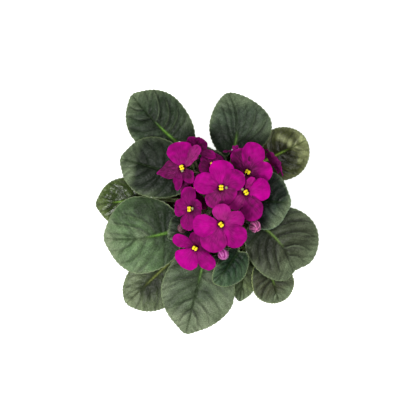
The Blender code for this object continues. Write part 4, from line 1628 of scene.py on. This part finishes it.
LEAVES = (
    Leaf(
        "leaf_outer_west", (-54, 4.6, 87), (-98.3, 0.4, 82), 20.5, 19.5, (172, 73.5), roll=4,
        painted_sheen_and_shade=(
            (45, -90, 15, 50), (80, 35, 10, 40), (95, 0, 10, 50), (70, 25, 12, -80),
            (5, 40, 12, -40), (30, 65, 8, 50), (50, -45, 12, -50), (80, -30, 8, -40),
            (45, 90, 12, 40),
        ),
        finish=LeafFinish(
            (0.047, 0.079, 0.013), heel=(0.07, 0.052, 0.01), roughness=0.18,
            haze=(0.15, 0.2, 0.07), gloss=0.5, midrib=(0.2, 0.38, 0.045), midrib_reach=0.6,
        ),
    ),
    Leaf(
        "leaf_outer_southwest", (-38, -46, 87), (-73.6, -80, 81), 24.5, 18, (228, 73.5), phase=1.0,
        point=1.5,
        painted_sheen_and_shade=(
            (50, -60, 16, 70), (35, 50, 15, 35), (50, 85, 12, 40), (50, 15, 12, -90),
            (65, 30, 10, -50), (35, 10, 8, -70), (22, -15, 7, -90), (42, 22, 15, -80),
            (50, -35, 6, -60), (85, 10, 15, 40),
        ),
        finish=LeafFinish(
            (0.095, 0.125, 0.06), haze=(0.22, 0.27, 0.15), midrib=(0.15, 0.18, 0.045),
            midrib_reach=0.5, gloss=0.2,
        ),
    ),
    Leaf(
        "leaf_outer_south", (23, -41, 83), (18.5, -78.5, 77), 12.5, 11, (297, 73.0), lobe=4,
        phase=2.0, painted_sheen_and_shade=((40, 50, 30, -100), (70, -35, 25, 120)),
        finish=LeafFinish((0.15, 0.2, 0.085), midrib_reach=0.2),
    ),
    Leaf(
        "leaf_outer_southeast", (42, -50, 87), (50.5, -79.3, 81), 16.5, 17.5, (322, 74.0),
        phase=0.5, point=0.5,
        painted_sheen_and_shade=(
            (30, 75, 20, 40), (70, 65, 15, 90), (85, 0, 20, 45), (20, -10, 15, -40),
            (40, 20, 10, -40),
        ),
        finish=LeafFinish(
            (0.075, 0.085, 0.045), rim=(0.28, 0.34, 0.13), rim_strength=0.9,
            midrib=(0.13, 0.22, 0.04), midrib_reach=0.42,
        ),
    ),
    Leaf(
        "leaf_outer_northeast", (36.8, 34.8, 87), (72.8, 52.6, 84), 20, 22.5, (44, 73.5), edge=4.5,
        phase=1.6, point=0.3, heel_reach=0.3, tip_painted_sheen=0.15,
        painted_sheen_and_shade=(
            (65, 15, 8, 130), (80, -35, 10, 80), (50, 60, 7, 100), (57, 38, 6, 90),
            (25, 90, 12, 90), (80, -75, 8, 40), (30, -90, 10, 80), (71, -5, 7, 110),
            (35, -20, 22, -80), (66, -55, 6, 90), (95, 5, 9, 70), (90, 20, 10, 50),
            (45, 20, 10, -20), (60, -50, 15, -20),
        ),
        finish=LeafFinish(
            (0.042, 0.05, 0.007), heel=(0.022, 0.025, 0.004), heel_strength=0.6, gloss=0.4,
            midrib=(0.22, 0.38, 0.05), midrib_reach=0.52, haze=(0.35, 0.39, 0.17),
        ),
    ),
    Leaf(
        "leaf_middle_northwest", (-32, 50, 96), (-68, 88, 97), 23.6, 23.6, (118, 79.0), lobe=13,
        fold=2.5, phase=0.4, bow=1.5,
        painted_sheen_and_shade=(
            (6, -75, 12, 70), (50, 95, 10, 20), (55, 10, 20, -40), (45, 45, 15, -35),
            (35, 10, 8, -50), (85, 30, 10, 30),
        ),
        finish=LeafFinish((0.035, 0.057, 0.028), midrib_reach=0.38),
        veins=(
            (10, 20, -90, 70), (17, 34, -85, 90), (27, 56, -80, 100), (42, 80, -70, 100),
            (60, 92, -40, 50),
        ),
    ),
    Leaf(
        "leaf_middle_west", (-39, -22, 97), (-91, -26.5, 91), 31, 31, (205, 78.5), lobe=12,
        taper=0.14, phase=2.4, bow=2.5, heel_reach=0.1,
        painted_sheen_and_shade=(
            (45, 90, 20, 25), (12, -65, 26, -120), (5, -15, 14, -100), (50, -35, 6, -50),
            (75, -65, 12, -60), (38, 5, 16, 50), (95, 10, 14, 60), (90, 40, 10, 60),
            (33, -38, 6, 30), (35, 30, 10, -30), (20, 85, 12, -40), (28, -80, 16, -90),
            (20, -90, 14, -100), (-2, -30, 18, -80), (62, -88, 12, -50), (20, 92, 10, -50),
            (17, -30, 7, -90), (20, 5, 6, -70), (17, 25, 6, -60), (36, -22, 5, -30),
            (42, -62, 6, -90), (50, -85, 15, -40),
        ),
        finish=LeafFinish(
            (0.112, 0.19, 0.08), midrib_reach=0.27, haze=(0.22, 0.27, 0.16),
            rim=(0.27, 0.33, 0.18), rim_strength=0.8,
        ),
        veins=(
            (2, -5, -75, 80), (8, 20, -90, 100), (16, 62, -66, 100), (28, 80, -42, 100),
            (50, 93, -15, 50), (5, 12, 85, 60), (18, 52, 85, 50), (33, 75, 62, 50),
            (52, 90, 32, 50),
        ),
    ),
    Leaf(
        "leaf_middle_east", (36, -17, 96), (63, -53, 90), 34.8, 24, (340, 79.0), taper=0.0,
        point=-4.5, bow=3.5,
        painted_sheen_and_shade=(
            (20, -30, 24, -120), (40, -30, 20, -40), (3, 65, 12, 60), (20, 50, 16, -60),
            (80, -12, 7, 40), (97, -10, 8, 40), (80, 30, 10, -30), (80, -60, 20, -30),
            (95, 50, 8, 50),
        ),
        finish=LeafFinish((0.074, 0.09, 0.051), midrib=(0.1, 0.17, 0.035), midrib_reach=0.45),
        veins=(
            (4, 20, 85, 80), (14, 46, 86, 100), (30, 70, 74, 100), (52, 86, 50, 100),
            (70, 94, 26, 70), (4, 10, -85, 80), (12, 46, -88, 100), (22, 66, -72, 100),
            (36, 82, -50, 80), (60, 97, -8, 100),
        ),
    ),
    Leaf(
        "leaf_middle_north", (14, 46, 97), (9, 89.5, 98), 18.5, 31.5, (76, 79.5), taper=0.3,
        middle_share=0.36, phase=1.2, bow=-4.0, point=0.8, heel_reach=0.1,
        painted_sheen_and_shade=(
            (20, 60, 24, -80), (5, 10, 18, -90), (25, -80, 22, 40), (20, 90, 12, -60),
            (80, -30, 10, 25), (55, 95, 15, 50),
        ),
        finish=LeafFinish((0.051, 0.078, 0.045), midrib=(0.07, 0.14, 0.025), midrib_reach=0.22),
        veins=(
            (2, 55, 80, 60), (5, 75, 50, 60), (12, 88, 22, 50), (2, 48, -80, 60), (5, 66, -55, 70),
            (14, 80, -32, 50), (25, 92, -10, 40),
        ),
    ),
    Leaf(
        "leaf_upper_south", (-10, -42, 104), (-25, -103, 95), 30.5, 28, (262, 80.0), taper=0.25,
        point=3.5,
        painted_sheen_and_shade=(
            (50, 75, 16, 50), (65, 35, 13, 55), (20, 35, 12, 50), (38, 25, 8, -70),
            (35, -35, 8, -40), (50, -85, 12, 40), (80, -35, 12, 55), (5, 60, 10, -100),
            (80, 40, 10, 30),
        ),
        finish=LeafFinish(
            (0.088, 0.126, 0.066), midrib=(0.11, 0.23, 0.045), midrib_reach=0.25,
            haze=(0.22, 0.265, 0.16),
        ),
    ),
    Leaf(
        "leaf_upper_northwest", (-31, 24, 105), (-77, 37, 100), 23.5, 24.5, (146, 81.5), lobe=12,
        edge=4, heel_reach=0.3,
        painted_sheen_and_shade=((30, 95, 20, 50), (80, 45, 14, 70), (45, 30, 20, -60), (50, -40, 12, -50)),
        finish=LeafFinish((0.02, 0.03, 0.017), midrib_reach=-0.2),
    ),
    Leaf(
        "leaf_inner_south", (17, -36, 108), (-2.5, -62, 107), 16, 9, (286, 82.5), lobe=4,
        point=0.4, roll=-14, arch=3, heel_reach=0.1,
        painted_sheen_and_shade=(
            (50, 75, 25, 50), (20, 70, 20, 40), (38, -15, 22, -60), (55, -90, 15, 80),
            (75, 10, 15, 40),
        ),
        finish=LeafFinish(
            (0.014, 0.043, 0.018), haze=(0.095, 0.155, 0.08), rim_strength=0.9, midrib_reach=-0.2,
        ),
    ),
    Leaf(
        "leaf_inner_east", (22, 4, 105), (58.5, 1.5, 106), 24, 22.5, (10, 83.0), lobe=6, taper=0.0,
        fold=3.5, edge=4, heel_reach=0.5,
        painted_sheen_and_shade=(
            (65, -85, 20, 60), (80, -45, 14, 30), (80, 30, 15, -50), (93, -10, 10, 30),
            (65, 30, 20, -80),
        ),
        finish=LeafFinish(
            (0.023, 0.039, 0.025), heel=(0.004, 0.005, 0.006), heel_strength=0.95,
            rim=(0.18, 0.27, 0.16), rim_strength=0.7, midrib_reach=-0.2,
        ),
    ),
    Leaf(
        "leaf_inner_west", (-16, -14, 102), (-39, -26, 107), 14, 13, (232, 83.0), lobe=4, roll=8,
        fold=3, heel_reach=0.6, tip_painted_sheen=0.3,
        finish=LeafFinish((0.03, 0.045, 0.028), rim=(0.14, 0.2, 0.1), midrib_reach=-0.2),
    ),
    Leaf(
        "leaf_inner_north", (-2, 21, 101), (-8, 46, 105), 14, 12.5, (98, 83.5), lobe=3, fold=3,
        heel_reach=0.8, tip_painted_sheen=0.1, finish=LeafFinish((0.02, 0.034, 0.02), midrib_reach=-0.2),
    ),
)


# Flowers


@dataclass(frozen=True)
class Petal:
    """One petal of a flower, seen in the flower's own plane."""

    azimuth: float
    reach: float
    width: float
    lift: float
    # How dusky the petal is: partly its own darker tone, partly painted shade.
    shade: float = 0.0
    point: float = 0.0
    ruffle: float = 0.7
    # How much painted sheen the petal has.
    haze: float = 0.0


@dataclass(frozen=True)
class Flower:
    """A bloom or a bud: its place, and the azimuth and tilt that it faces."""

    name: str
    centre: Triple
    facing: Pair

    def own_frame(self) -> Frame:
        """The flower's own frame, its third axis the way it faces."""
        return Frame.facing(self.centre, *self.facing)


@dataclass(frozen=True)
class Bloom(Flower):
    """One open flower: five overlapping petals round a short tube, and the stamens."""

    petals: tuple[Petal, ...]
    spin: float = 0.0
    stigma: Pair | None = (0.0, 3.6)
    throat_radius: float = 2.6
    tube_radius: float = 1.7
    tube_depth: float = 3.2
    thickness: float = 0.35
    foot: float = 1.9
    # Painted shade toward the throat: its strength and its reach in millimetres.
    hollow_shade: Pair = (0.35, 4.0)
    crown: float = 1.0
    cup: float = 0.7
    overlap: float = 0.35
    sac: Triple = (1.75, 1.15, 0.95)
    sac_height: float = 2.6
    filament_radius: float = 0.32
    style_radius: float = 0.26
    style_height: float = 2.4
    knob: Triple = (0.95, 0.95, 0.7)
    waist: float = 0.28
    columns: int = 72
    rings: int = 15

    @property
    def back(self) -> float:
        """Depth behind the centre at which the calyx begins."""
        return self.tube_depth + 0.3

    def beside(self, number: int, side: int) -> tuple[float, float]:
        """What a petal shares with its neighbour.

        Args:
            number: Which petal.
            side: 1 for the next neighbour, -1 for the one before.

        Returns:
            The angle from the petal's middle to their seam, which parts the gap by their
            widths, and the neighbour's lift.
        """
        petal = self.petals[number]
        other = self.petals[(number + side) % len(self.petals)]
        apart = (side * (other.azimuth - petal.azimuth)) % 360
        return math.radians(apart) * petal.width / (petal.width + other.width), other.lift

    def outline(self, petal: Petal, seed: int) -> tuple[Array, float]:
        """A petal's margin: a broad egg that narrows into the throat, gently uneven.

        Args:
            petal: The petal.
            seed: Number that fixes its unevenness.

        Returns:
            Plan points along and across the petal, and the middle's distance.
        """
        angle = circle(self.columns)
        c, s = np.cos(angle), np.sin(angle)
        middle = self.foot + (petal.reach - self.foot) * 0.55
        x = middle + np.where(c > 0, petal.reach - middle, middle - self.foot) * c
        y = petal.width * np.sign(s) * np.abs(s) ** 0.85 * (1 - 0.42 * limit(-c) ** 1.4)
        y *= 1 - petal.point * np.clip(c + 0.3, 0, 1.3)
        uneven = 1 + 0.018 * np.sin(3 * angle + seed) + 0.010 * np.sin(8 * angle + 2.1 * seed)
        x = np.where(c > 0, middle + (x - middle) * uneven, x)
        return np.stack((x, y * uneven), axis=1), middle

    def petal_form(self, number: int) -> Form:
        """One petal as a thin closed form.

        Its arm leaves the throat's radius and rises at its lift, which goes over to the
        neighbour's near the seam. One side lies over its neighbour, the edges cup and
        ruffle, and the foot dips into the tube.

        Args:
            number: Which petal.

        Returns:
            The form with the masks of its finish.
        """
        petal = self.petals[number]
        seed = 5 * number + len(self.name) + int(petal.azimuth)
        outline, middle = self.outline(petal, seed)
        plan = Sheet.spread(outline, middle, self.thickness, self.rings, self.rings // 2)
        x, y = plan.x, plan.y
        radius, angle = np.hypot(x, y), np.arctan2(y, x)
        (next_seam, next_lift), (last_seam, last_lift) = (self.beside(number, s) for s in (1, -1))
        offset = np.abs(angle) / np.where(angle > 0, next_seam, last_seam)
        blend = limit(0.5 * (offset - 0.55) / 0.45)
        other = np.where(angle > 0, next_lift, last_lift)
        lift = np.radians(petal.lift * (1 - blend) + other * blend)
        arm = radius - self.throat_radius
        share = arm / (petal.reach - self.throat_radius)
        bend = lift * limit(2.5 * share)
        flat = self.throat_radius + arm * np.cos(bend)
        across = y / petal.width
        height = arm * np.sin(bend) + self.crown * np.sin(1.2 * math.pi * limit(share))
        height += self.overlap * across + self.cup * np.abs(across) ** 2.2 * share
        height -= 0.35 * bell(y, 1.3) * limit(1.3 - share)
        height -= 1.5 * limit((4.2 - radius) / 2.4) ** 1.5
        height += petal.ruffle * plan.share**4 * swell(x, y, 7.0, seed)
        height += 0.28 * swell(x, y, 9.0, seed + 50) * limit(share * 2)
        turn = angle + math.radians(petal.azimuth)
        local = np.stack((flat * np.cos(turn), flat * np.sin(turn), height + plan.half), axis=-1)
        gap = (1 - plan.share) * np.hypot(outline[:, 0] - middle, outline[:, 1])
        # The petal's dusky tone, darker toward the throat and lighter at its edge: partly its own
        # tone, partly painted shade.
        shade = petal.shade * limit(1.25 - 0.45 * share - 0.3 * bell(gap, 1.2))
        # Painted shade toward the throat.
        shade += self.hollow_shade[0] * bell(np.maximum(radius - 2.5, 0), self.hollow_shade[1])
        # Painted shadow along the seams where the petals overlap, and random unevenness.
        shade += 0.18 * bell(offset - 1, 0.22) + 0.15 * swell(x, y, 6.0, seed + 9)
        masks = {
            "throat": bell(np.maximum(radius - 1.7, 0), 1.1),
            "line": limit(1.15 - share) * bell(across, 0.9),
            "shade": limit(shade),
            # Painted sheen.
            "haze": petal.haze * limit(1.4 - share),
            "under": plan.under,
            "plan": np.stack((turn, radius, 0 * radius), axis=-1),
        }
        return Form(self.own_frame().place(local), masks)

    def corolla(self, material: Material) -> Object:
        """Gathers the petals and the short tube that they join in, a turned cup.

        Args:
            material: The petals' finish.

        Returns:
            The corolla.
        """
        piece = Piece(self.name + "_petals")
        for number in range(len(self.petals)):
            piece.add_form(self.petal_form(number))
        wide, slim, floor = self.throat_radius, self.tube_radius, -self.tube_depth
        cup = [
            (0.0, -self.back), (slim, -self.back), (slim + 0.3, -2.4), (wide + 0.5, -0.6),
            (wide + 0.7, -0.35), (wide + 0.3, -0.4), (slim - 0.1, -2.3), (slim - 0.5, floor + 0.4),
            (0.0, floor + 0.3),
        ]
        piece.add_form(Form(self.own_frame().place(revolve(cup, 24))), throat=1.0)
        return piece.build(material, "petal", self.name + "_corolla")

    def stamens(self, material: Material) -> Object:
        """Two pollen sacs, each of two lobes, on bent filaments, with style and stigma.

        A sac is an ellipsoid whose radius dips by a quarter round its waist.

        Args:
            material: The stamens' finish.

        Returns:
            The stamens.
        """
        piece = Piece(self.name + "_stamens")
        own, spin = self.own_frame(), about_z(self.spin).T
        grain = ball(17, 28)[..., [2, 0, 1]]
        waist = bell(grain[..., 0], self.waist)
        for side in (-1, 1):
            sac = grain * (1 - 0.26 * waist)[..., None] * self.sac
            sac[..., 1] += side * (1.0 + 0.12 * waist)
            sac[..., 2] += self.sac_height - 0.12 * sac[..., 0] ** 2
            piece.add_form(Form(own.place(sac @ spin), {"groove": waist}))
            foot = np.array((0.0, side * 0.5, 0.15 - self.tube_depth))
            head = np.array((0.0, side * 0.9, 2.3))
            route = bezier(foot, UP, head, UP + side * np.array((0, -0.6, 0)), 9) @ spin
            piece.add_tube(own.place(route), np.full(9, self.filament_radius), 8, filament=1.0)
        if self.stigma:
            azimuth, far = self.stigma
            aim = direction(azimuth, 90)
            end = aim * far + UP * self.style_height
            foot = np.array((0.0, 0.0, 0.2 - self.tube_depth))
            route = bezier(foot, UP, end, aim + UP * 0.6, 14)
            piece.add_tube(own.place(route), np.full(14, self.style_radius), 8, style=1.0)
            knob = (grain * (1 + 0.1 * waist)[..., None])[..., [2, 1, 0]] * self.knob
            piece.add_form(Form(own.place(knob + end)), stigma=1.0)
        return piece.build(material, "anther", self.name + "_anthers")


@dataclass(frozen=True)
class Bud(Flower):
    """One closed bud: petals folded over each other in a ball."""

    radius: float
    folds: int = 5
    twist: float = 0.4
    step: float = 0.10
    stripes: tuple[Triple, ...] = ((1.0, 0.15, 0.24), (0.8, 0.60, 0.12))
    finish: BudFinish = BudFinish()
    length_share: float = 1.05

    @property
    def back(self) -> float:
        """Depth behind the centre at which the calyx begins."""
        return self.radius * self.length_share

    def build(self) -> Object:
        """Makes the ball, its radius stepped where one folded petal ends on the next.

        The step is a saw tooth of the azimuth, twisted towards the top. Each stripe is a
        strength, a place on the saw tooth and a width.

        Returns:
            The bud.
        """
        rings = ball(40, 96)
        polar = np.linspace(0.0, math.pi, 40)[:, None]
        winding = self.folds * (circle(96) / (2 * math.pi)) + self.twist * np.cos(polar)
        saw = winding - np.floor(winding)
        step = np.sin(polar) * (self.step * saw**1.5 * (1 - bell(1 - saw, 0.06)) - 0.04)
        size = self.radius * (1 + step) * (1 - 0.10 * bell(polar, 0.35))
        shape = rings * size[..., None] * (1, 1, self.length_share)
        stripe = sum(strength * bell(saw - spot, width) for strength, spot, width in self.stripes)
        masks = {
            "stripe": limit(stripe) * limit(3 * np.sin(polar)),
            "tip": bell(math.pi - polar, 0.6) + 0 * saw,
        }
        piece = Piece(self.name + "_petals")
        piece.add_form(Form(self.own_frame().place(shape), masks))
        return piece.build(self.finish.material(self.name + " skin"), "bud", self.name)


@dataclass(frozen=True)
class Spray:
    """One flower stalk, which forks into a pedicel for each bloom or bud.

    root is the radius and azimuth at which the stalk leaves the crown's top.
    """

    name: str
    root: Pair
    fork: Triple
    carries: tuple[str, ...]
    crown_top: float = 88.3
    stem_radius: float = 1.25
    lean: float = 6.0
    pedicel_radius: float = 0.8
    calyx_height: float = 2.4
    calyx_radius: float = 2.1
    calyx_foot: float = 0.95
    calyx_waist: Pair = (1.6, 0.9)
    sepals: int = 5
    sepal_middle: float = 3.0
    sepal_reach: float = 4.9
    sepal_root: float = 1.9
    sepal_width: float = 0.95
    sepal_thickness: float = 0.4
    gap: float = 0.3
    stem_hairs: int = 160
    stem_hair_length: float = 1.3
    pedicel_hairs: int = 110
    pedicel_hair_length: float = 1.0
    pedicel_stations: int = 24

    def calyx(self, piece: Piece, own: Frame, back: float) -> None:
        """A small cup behind the flower and five pointed sepals spread from its rim.

        Args:
            piece: Where the calyx goes.
            own: The flower's frame.
            back: Depth at which the calyx begins.
        """
        top = -back - self.gap
        low = top - self.calyx_height
        rim = top - 0.3
        waist, rise = self.calyx_waist
        cup = [(0.0, low), (self.calyx_foot, low), (waist, low + rise), (self.calyx_radius, rim),
               (self.calyx_radius - 0.3, top), (0.0, top)]
        piece.add_form(Form(own.place(revolve(cup, 20))), calyx=1.0)
        angle = circle(24)
        c, s = np.cos(angle), np.sin(angle)
        middle = self.sepal_middle
        x = middle + np.where(c > 0, self.sepal_reach - middle, self.sepal_root) * c
        y = self.sepal_width * s * (1 - 0.75 * limit(c) ** 1.2)
        plan = Sheet.spread(np.stack((x, y), axis=1), middle, self.sepal_thickness, 7, 4)
        sepal = plan.lifted(rim - 0.25 * bell(plan.y, 0.4) - 0.05 * (plan.x - 1.5))
        for number in range(self.sepals):
            turned = sepal @ about_z(360 / self.sepals * number).T
            piece.add_form(Form(own.place(turned)), calyx=1.0)

    def build(self, flowers: dict[str, Bloom | Bud], material: Material) -> Object:
        """Gathers the stalk, its pedicels, calyces and hairs.

        Args:
            flowers: Blooms and buds by name.
            material: The stalks' finish.

        Returns:
            The stalk.
        """
        dice = np.random.default_rng(sum(map(ord, self.name)))
        piece = Piece(self.name + "_stem")
        radius, azimuth = self.root
        root = direction(azimuth, 90) * radius + UP * self.crown_top
        fork = np.array(self.fork, dtype=float)
        climb = bezier(root, UP, fork, fork - root + UP * self.lean, STALK_STATIONS)
        over = unit(climb[-1] - climb[-2]) * self.pedicel_radius
        path = np.concatenate((climb, [fork + over]))
        radii = np.append(np.full(STALK_STATIONS, self.stem_radius), self.pedicel_radius)
        piece.add_tube(path, radii, 14)
        piece.add_fur(path, radii, self.stem_hairs, self.stem_hair_length, dice)
        slim = np.full(self.pedicel_stations, self.pedicel_radius)
        for name in self.carries:
            own, back = flowers[name].own_frame(), flowers[name].back
            end = own.place(np.array((0.0, 0.0, -back - self.gap - self.calyx_height / 2)))
            leave = unit(end - fork) + over
            route = bezier(fork - over, leave, end, own.axes[2], self.pedicel_stations)
            piece.add_tube(route, slim)
            piece.add_fur(route, slim, self.pedicel_hairs, self.pedicel_hair_length, dice)
            self.calyx(piece, own, back)
        return piece.build(material, "stalk", self.name)


BLOOMS = (
    Bloom(
        "bloom_centre", (2.6, 12.7, 145), (60, 8),
        (
            Petal(88, 21.5, 9.6, 4), Petal(165, 21, 8.6, 2, 0.2),
            Petal(244, 17, 8.2, -22, 0.8, haze=0.2), Petal(312, 14, 8.2, -24, 0.75, haze=0.2),
            Petal(390, 20, 8.4, 3, 0.45),
        ),
        stigma=(0, 3.9),
    ),
    Bloom(
        "bloom_front", (2.6, -14.5, 147), (270, 10),
        (
            Petal(20, 18.5, 7, 8, 0.3, haze=0.2), Petal(87, 16, 7.2, 10, 0.15, haze=0.45),
            Petal(184, 21.5, 9, 3, 0.1), Petal(246, 23.5, 10.5, -6, 0.5, haze=0.1),
            Petal(318, 23.5, 9.5, -6, 0.4),
        ),
        spin=40, stigma=None,
    ),
    Bloom(
        "bloom_right", (21.5, 9.5, 135.5), (0, 10),
        (
            Petal(11, 19.5, 9, 3), Petal(70, 15.5, 4, 40, 0.35, haze=0.3),
            Petal(160, 14, 7, -22, 0.65), Petal(222, 17, 6.5, -8, 0.55, haze=0.3),
            Petal(291, 23, 9, -4, 0.7),
        ),
        spin=30, stigma=(140, 3.8),
    ),
    Bloom(
        "bloom_back_right", (23, 25, 131), (50, 8),
        (
            Petal(3, 19.5, 8, 2, 0.2), Petal(73, 24, 9.4, 3, 0.3), Petal(118, 20, 8, 14, 1.0),
            Petal(205, 14, 7, -20, 1.0), Petal(285, 14, 7, -20, 0.7),
        ),
        spin=60, stigma=(220, 4.2), hollow_shade=(0.9, 6.5),
    ),
    Bloom(
        "bloom_back_left", (-27, 28, 134), (120, 14),
        (
            Petal(45, 24, 5.5, 32, 0.7, haze=0.5), Petal(98, 21.5, 10.4, 0, 0.35),
            Petal(184, 23, 8.5, -24, 1.0, 0.6, haze=0.15), Petal(245, 23, 5.5, -52, 0.7, 0.2),
            Petal(306, 14, 6, -30, 0.9, 0.3),
        ),
        spin=20, stigma=(280, 2.6),
    ),
    Bloom(
        "bloom_left", (-20.3, -3.2, 130), (180, 36),
        (
            Petal(20, 10.5, 5.5, 2, 0.8), Petal(97, 17.5, 7, 4, 0.6), Petal(175, 16, 7, 4, 0.55),
            Petal(257, 17, 7, 4, 0.6), Petal(328, 10.5, 6, 2, 0.8),
        ),
        spin=0, stigma=(10, 3.2),
    ),
    Bloom(
        "bloom_front_left", (-17, -33, 130), (225, 12),
        (
            Petal(5, 12, 6.8, -20, 0.85), Petal(78, 13, 6, 6, 0.7), Petal(148, 20.5, 5.4, 26, 0.4),
            Petal(233, 18.5, 10, 3), Petal(308, 22, 6.2, -10, 0.4),
        ),
        spin=60, stigma=None,
    ),
    Bloom(
        "bloom_low_back", (-17.5, 42, 119), (70, 25),
        (
            Petal(45, 12, 5.5, 25, 0.8, ruffle=1.6), Petal(100, 12, 6, 22, 0.7, ruffle=1.6),
            Petal(160, 11, 5.5, 30, 0.8, ruffle=1.6), Petal(250, 8, 5, 10, 0.9),
            Petal(345, 17, 3.6, 2, 0.9, ruffle=1.2),
        ),
        spin=30,
    ),
    Bloom(
        "bloom_low_centre", (-4, 30.5, 117), (75, 20),
        tuple(Petal(57 + 72 * i, 11, 5.5, 10, 1.0) for i in range(5)),
    ),
    Bloom(
        "bloom_low_left", (-18.5, 12, 119), (200, 20),
        (
            Petal(58, 11, 5, 12, 0.9), Petal(130, 12.5, 6, 12, 0.9), Petal(202, 11, 5.5, 12, 0.9),
            Petal(255, 10, 4.5, 8, 0.9), Petal(303, 18, 4.2, -4, 1.0),
        ),
    ),
    Bloom(
        "bloom_low_right", (44, 33, 114), (33, 94),
        (
            Petal(69, 12, 5, 0, 0.9), Petal(141, 13, 5.5, 5, 0.9), Petal(213, 10.5, 5, 32, 0.9),
            Petal(285, 13, 5.5, 5, 0.9), Petal(357, 12, 5, 0, 0.9),
        ),
    ),
    Bloom(
        "bloom_low_north", (14, 40, 119), (90, 74),
        (
            Petal(54, 9, 4.5, 5, 0.9), Petal(126, 9, 4.5, 5, 0.9), Petal(198, 10, 5, 20, 0.9),
            Petal(270, 13, 3.2, 58, 0.4), Petal(342, 10, 5, 20, 0.9),
        ),
    ),
)

BUDS = (
    Bud("bud_right", (29.1, -16.7, 126), (300, 30), 4.6),
    Bud(
        "bud_front", (4.5, -38, 130), (268, 60), 4.2,
        finish=BudFinish(pale=(0.62, 0.13, 0.46), deep=(0.22, 0.006, 0.14), roughness=0.15),
    ),
    Bud(
        "bud_left", (-27, -18, 117), (220, 60), 3.9, folds=7,
        finish=BudFinish(pale=(0.26, 0.1, 0.15), deep=(0.09, 0.02, 0.035), roughness=0.55),
    ),
)

SPRAYS = (
    Spray("stalk_back_left", (4.6, 140), (-14, 25, 110), ("bloom_back_left", "bloom_low_back")),
    Spray(
        "stalk_centre", (4.6, 75), (3, 18, 107),
        ("bloom_centre", "bloom_low_centre", "bloom_low_north"),
    ),
    Spray(
        "stalk_right", (4.6, 20), (15, 13, 113),
        ("bloom_right", "bloom_back_right", "bloom_low_right"),
    ),
    Spray("stalk_front", (4.6, 300), (8, -14, 112), ("bloom_front", "bud_right", "bud_front")),
    Spray(
        "stalk_left", (4.6, 215), (-10, -9, 110),
        ("bloom_left", "bloom_front_left", "bloom_low_left", "bud_left"),
    ),
)


# Studio


class Softbox(Enum):
    """The studio's lamps: place, size and power."""

    KEY = ((-0.40, -0.36, 1.18), 0.32, 13.0)
    BACK = ((0.26, 0.40, 1.30), 0.5, 7.0)
    FILL = ((0.9, -0.2, 0.9), 0.8, 1.0)


@dataclass(frozen=True)
class Studio:
    """A plain pale floor, soft lamps, a pale surround and the camera above."""

    floor_size: float = 6.0
    floor_drop: float = 0.0002
    floor_greys: Pair = (0.86, 0.88)
    floor_glow: float = 0.80
    surround: float = 0.07
    backdrop: float = 1.0
    target: Triple = (0.0, 0.0, 0.1)
    eye: Triple = (-0.0072, -0.0024, 0.995)
    lens: float = 97.36

    def floor(self) -> None:
        """Lays the floor under the pot."""
        half, low = self.floor_size / 2, -self.floor_drop
        corners = [(-half, -half, low), (half, -half, low), (half, half, low), (-half, half, low)]
        mesh = bpy.data.meshes.new("floor")
        mesh.from_pydata(corners, [], [(0, 1, 2, 3)])
        floor = place_in_scene("floor", mesh)
        make = Recipe("pale floor")
        tone = make.mix(make.noise(make.spot(), 3.0), *((grey,) * 3 for grey in self.floor_greys))
        inputs = {
            "Base Color": tone, "Roughness": 0.9, "Specular IOR Level": 0.0,
            "Emission Color": (1.0, 1.0, 1.0), "Emission Strength": self.floor_glow,
        }
        mesh.materials.append(make.dress(inputs))

    def lights(self) -> None:
        """Hangs the lamps, aimed at the plant, and sets the surround."""
        for box in Softbox:
            place, size, power = box.value
            lamp = bpy.data.lights.new(box.name.lower(), "AREA")
            lamp.shape, lamp.size, lamp.energy = "SQUARE", size, power
            holder = place_in_scene(box.name.lower(), lamp)
            x, y, z = np.subtract(self.target, place)
            tilt = math.acos(-z / math.hypot(x, y, z))
            holder.location = place
            holder.rotation_euler = (tilt, 0.0, math.atan2(y, x) - math.pi / 2)
        world = bpy.data.worlds.new("surround")
        world.use_nodes = True
        graph = Graph(world.node_tree)
        seen = graph.node("ShaderNodeLightPath", {}).outputs["Is Camera Ray"]
        sky = world.node_tree.nodes["Background"].inputs
        graph.feed(sky["Color"], (1.0, 1.0, 1.0))
        graph.feed(sky["Strength"], graph.ramp(seen, self.surround, self.backdrop))
        bpy.context.scene.world = world
        bpy.context.scene.view_settings.view_transform = "Standard"

    def camera(self) -> None:
        """Sets the camera straight above the plant."""
        lens = bpy.data.cameras.new("camera")
        lens.lens = self.lens
        camera = place_in_scene("camera", lens)
        camera.location = self.eye
        bpy.context.scene.camera = camera


def main() -> None:
    """Builds the studio and every piece, and reports the pieces."""
    logging.basicConfig(level=logging.INFO, format="%(message)s")
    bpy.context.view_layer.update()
    studio = Studio()
    studio.floor()
    studio.lights()
    studio.camera()
    pot = Pot()
    pieces = [pot.build(), Soil(pot).build(), Crown().build()]
    pieces += [leaf.build() for leaf in LEAVES]
    velvet = PetalFinish().material("petal velvet")
    pollen = PollenFinish().material("pollen")
    for bloom in BLOOMS:
        pieces += [bloom.corolla(velvet), bloom.stamens(pollen)]
    pieces += [bud.build() for bud in BUDS]
    flowers = {flower.name: flower for flower in (*BLOOMS, *BUDS)}
    stalk = StemFinish().material("stalk skin")
    pieces += [spray.build(flowers, stalk) for spray in SPRAYS]
    for piece in pieces:
        LOG.info("%s: %d faces", piece.name, len(piece.data.polygons))


if __name__ == "__main__":
    main()
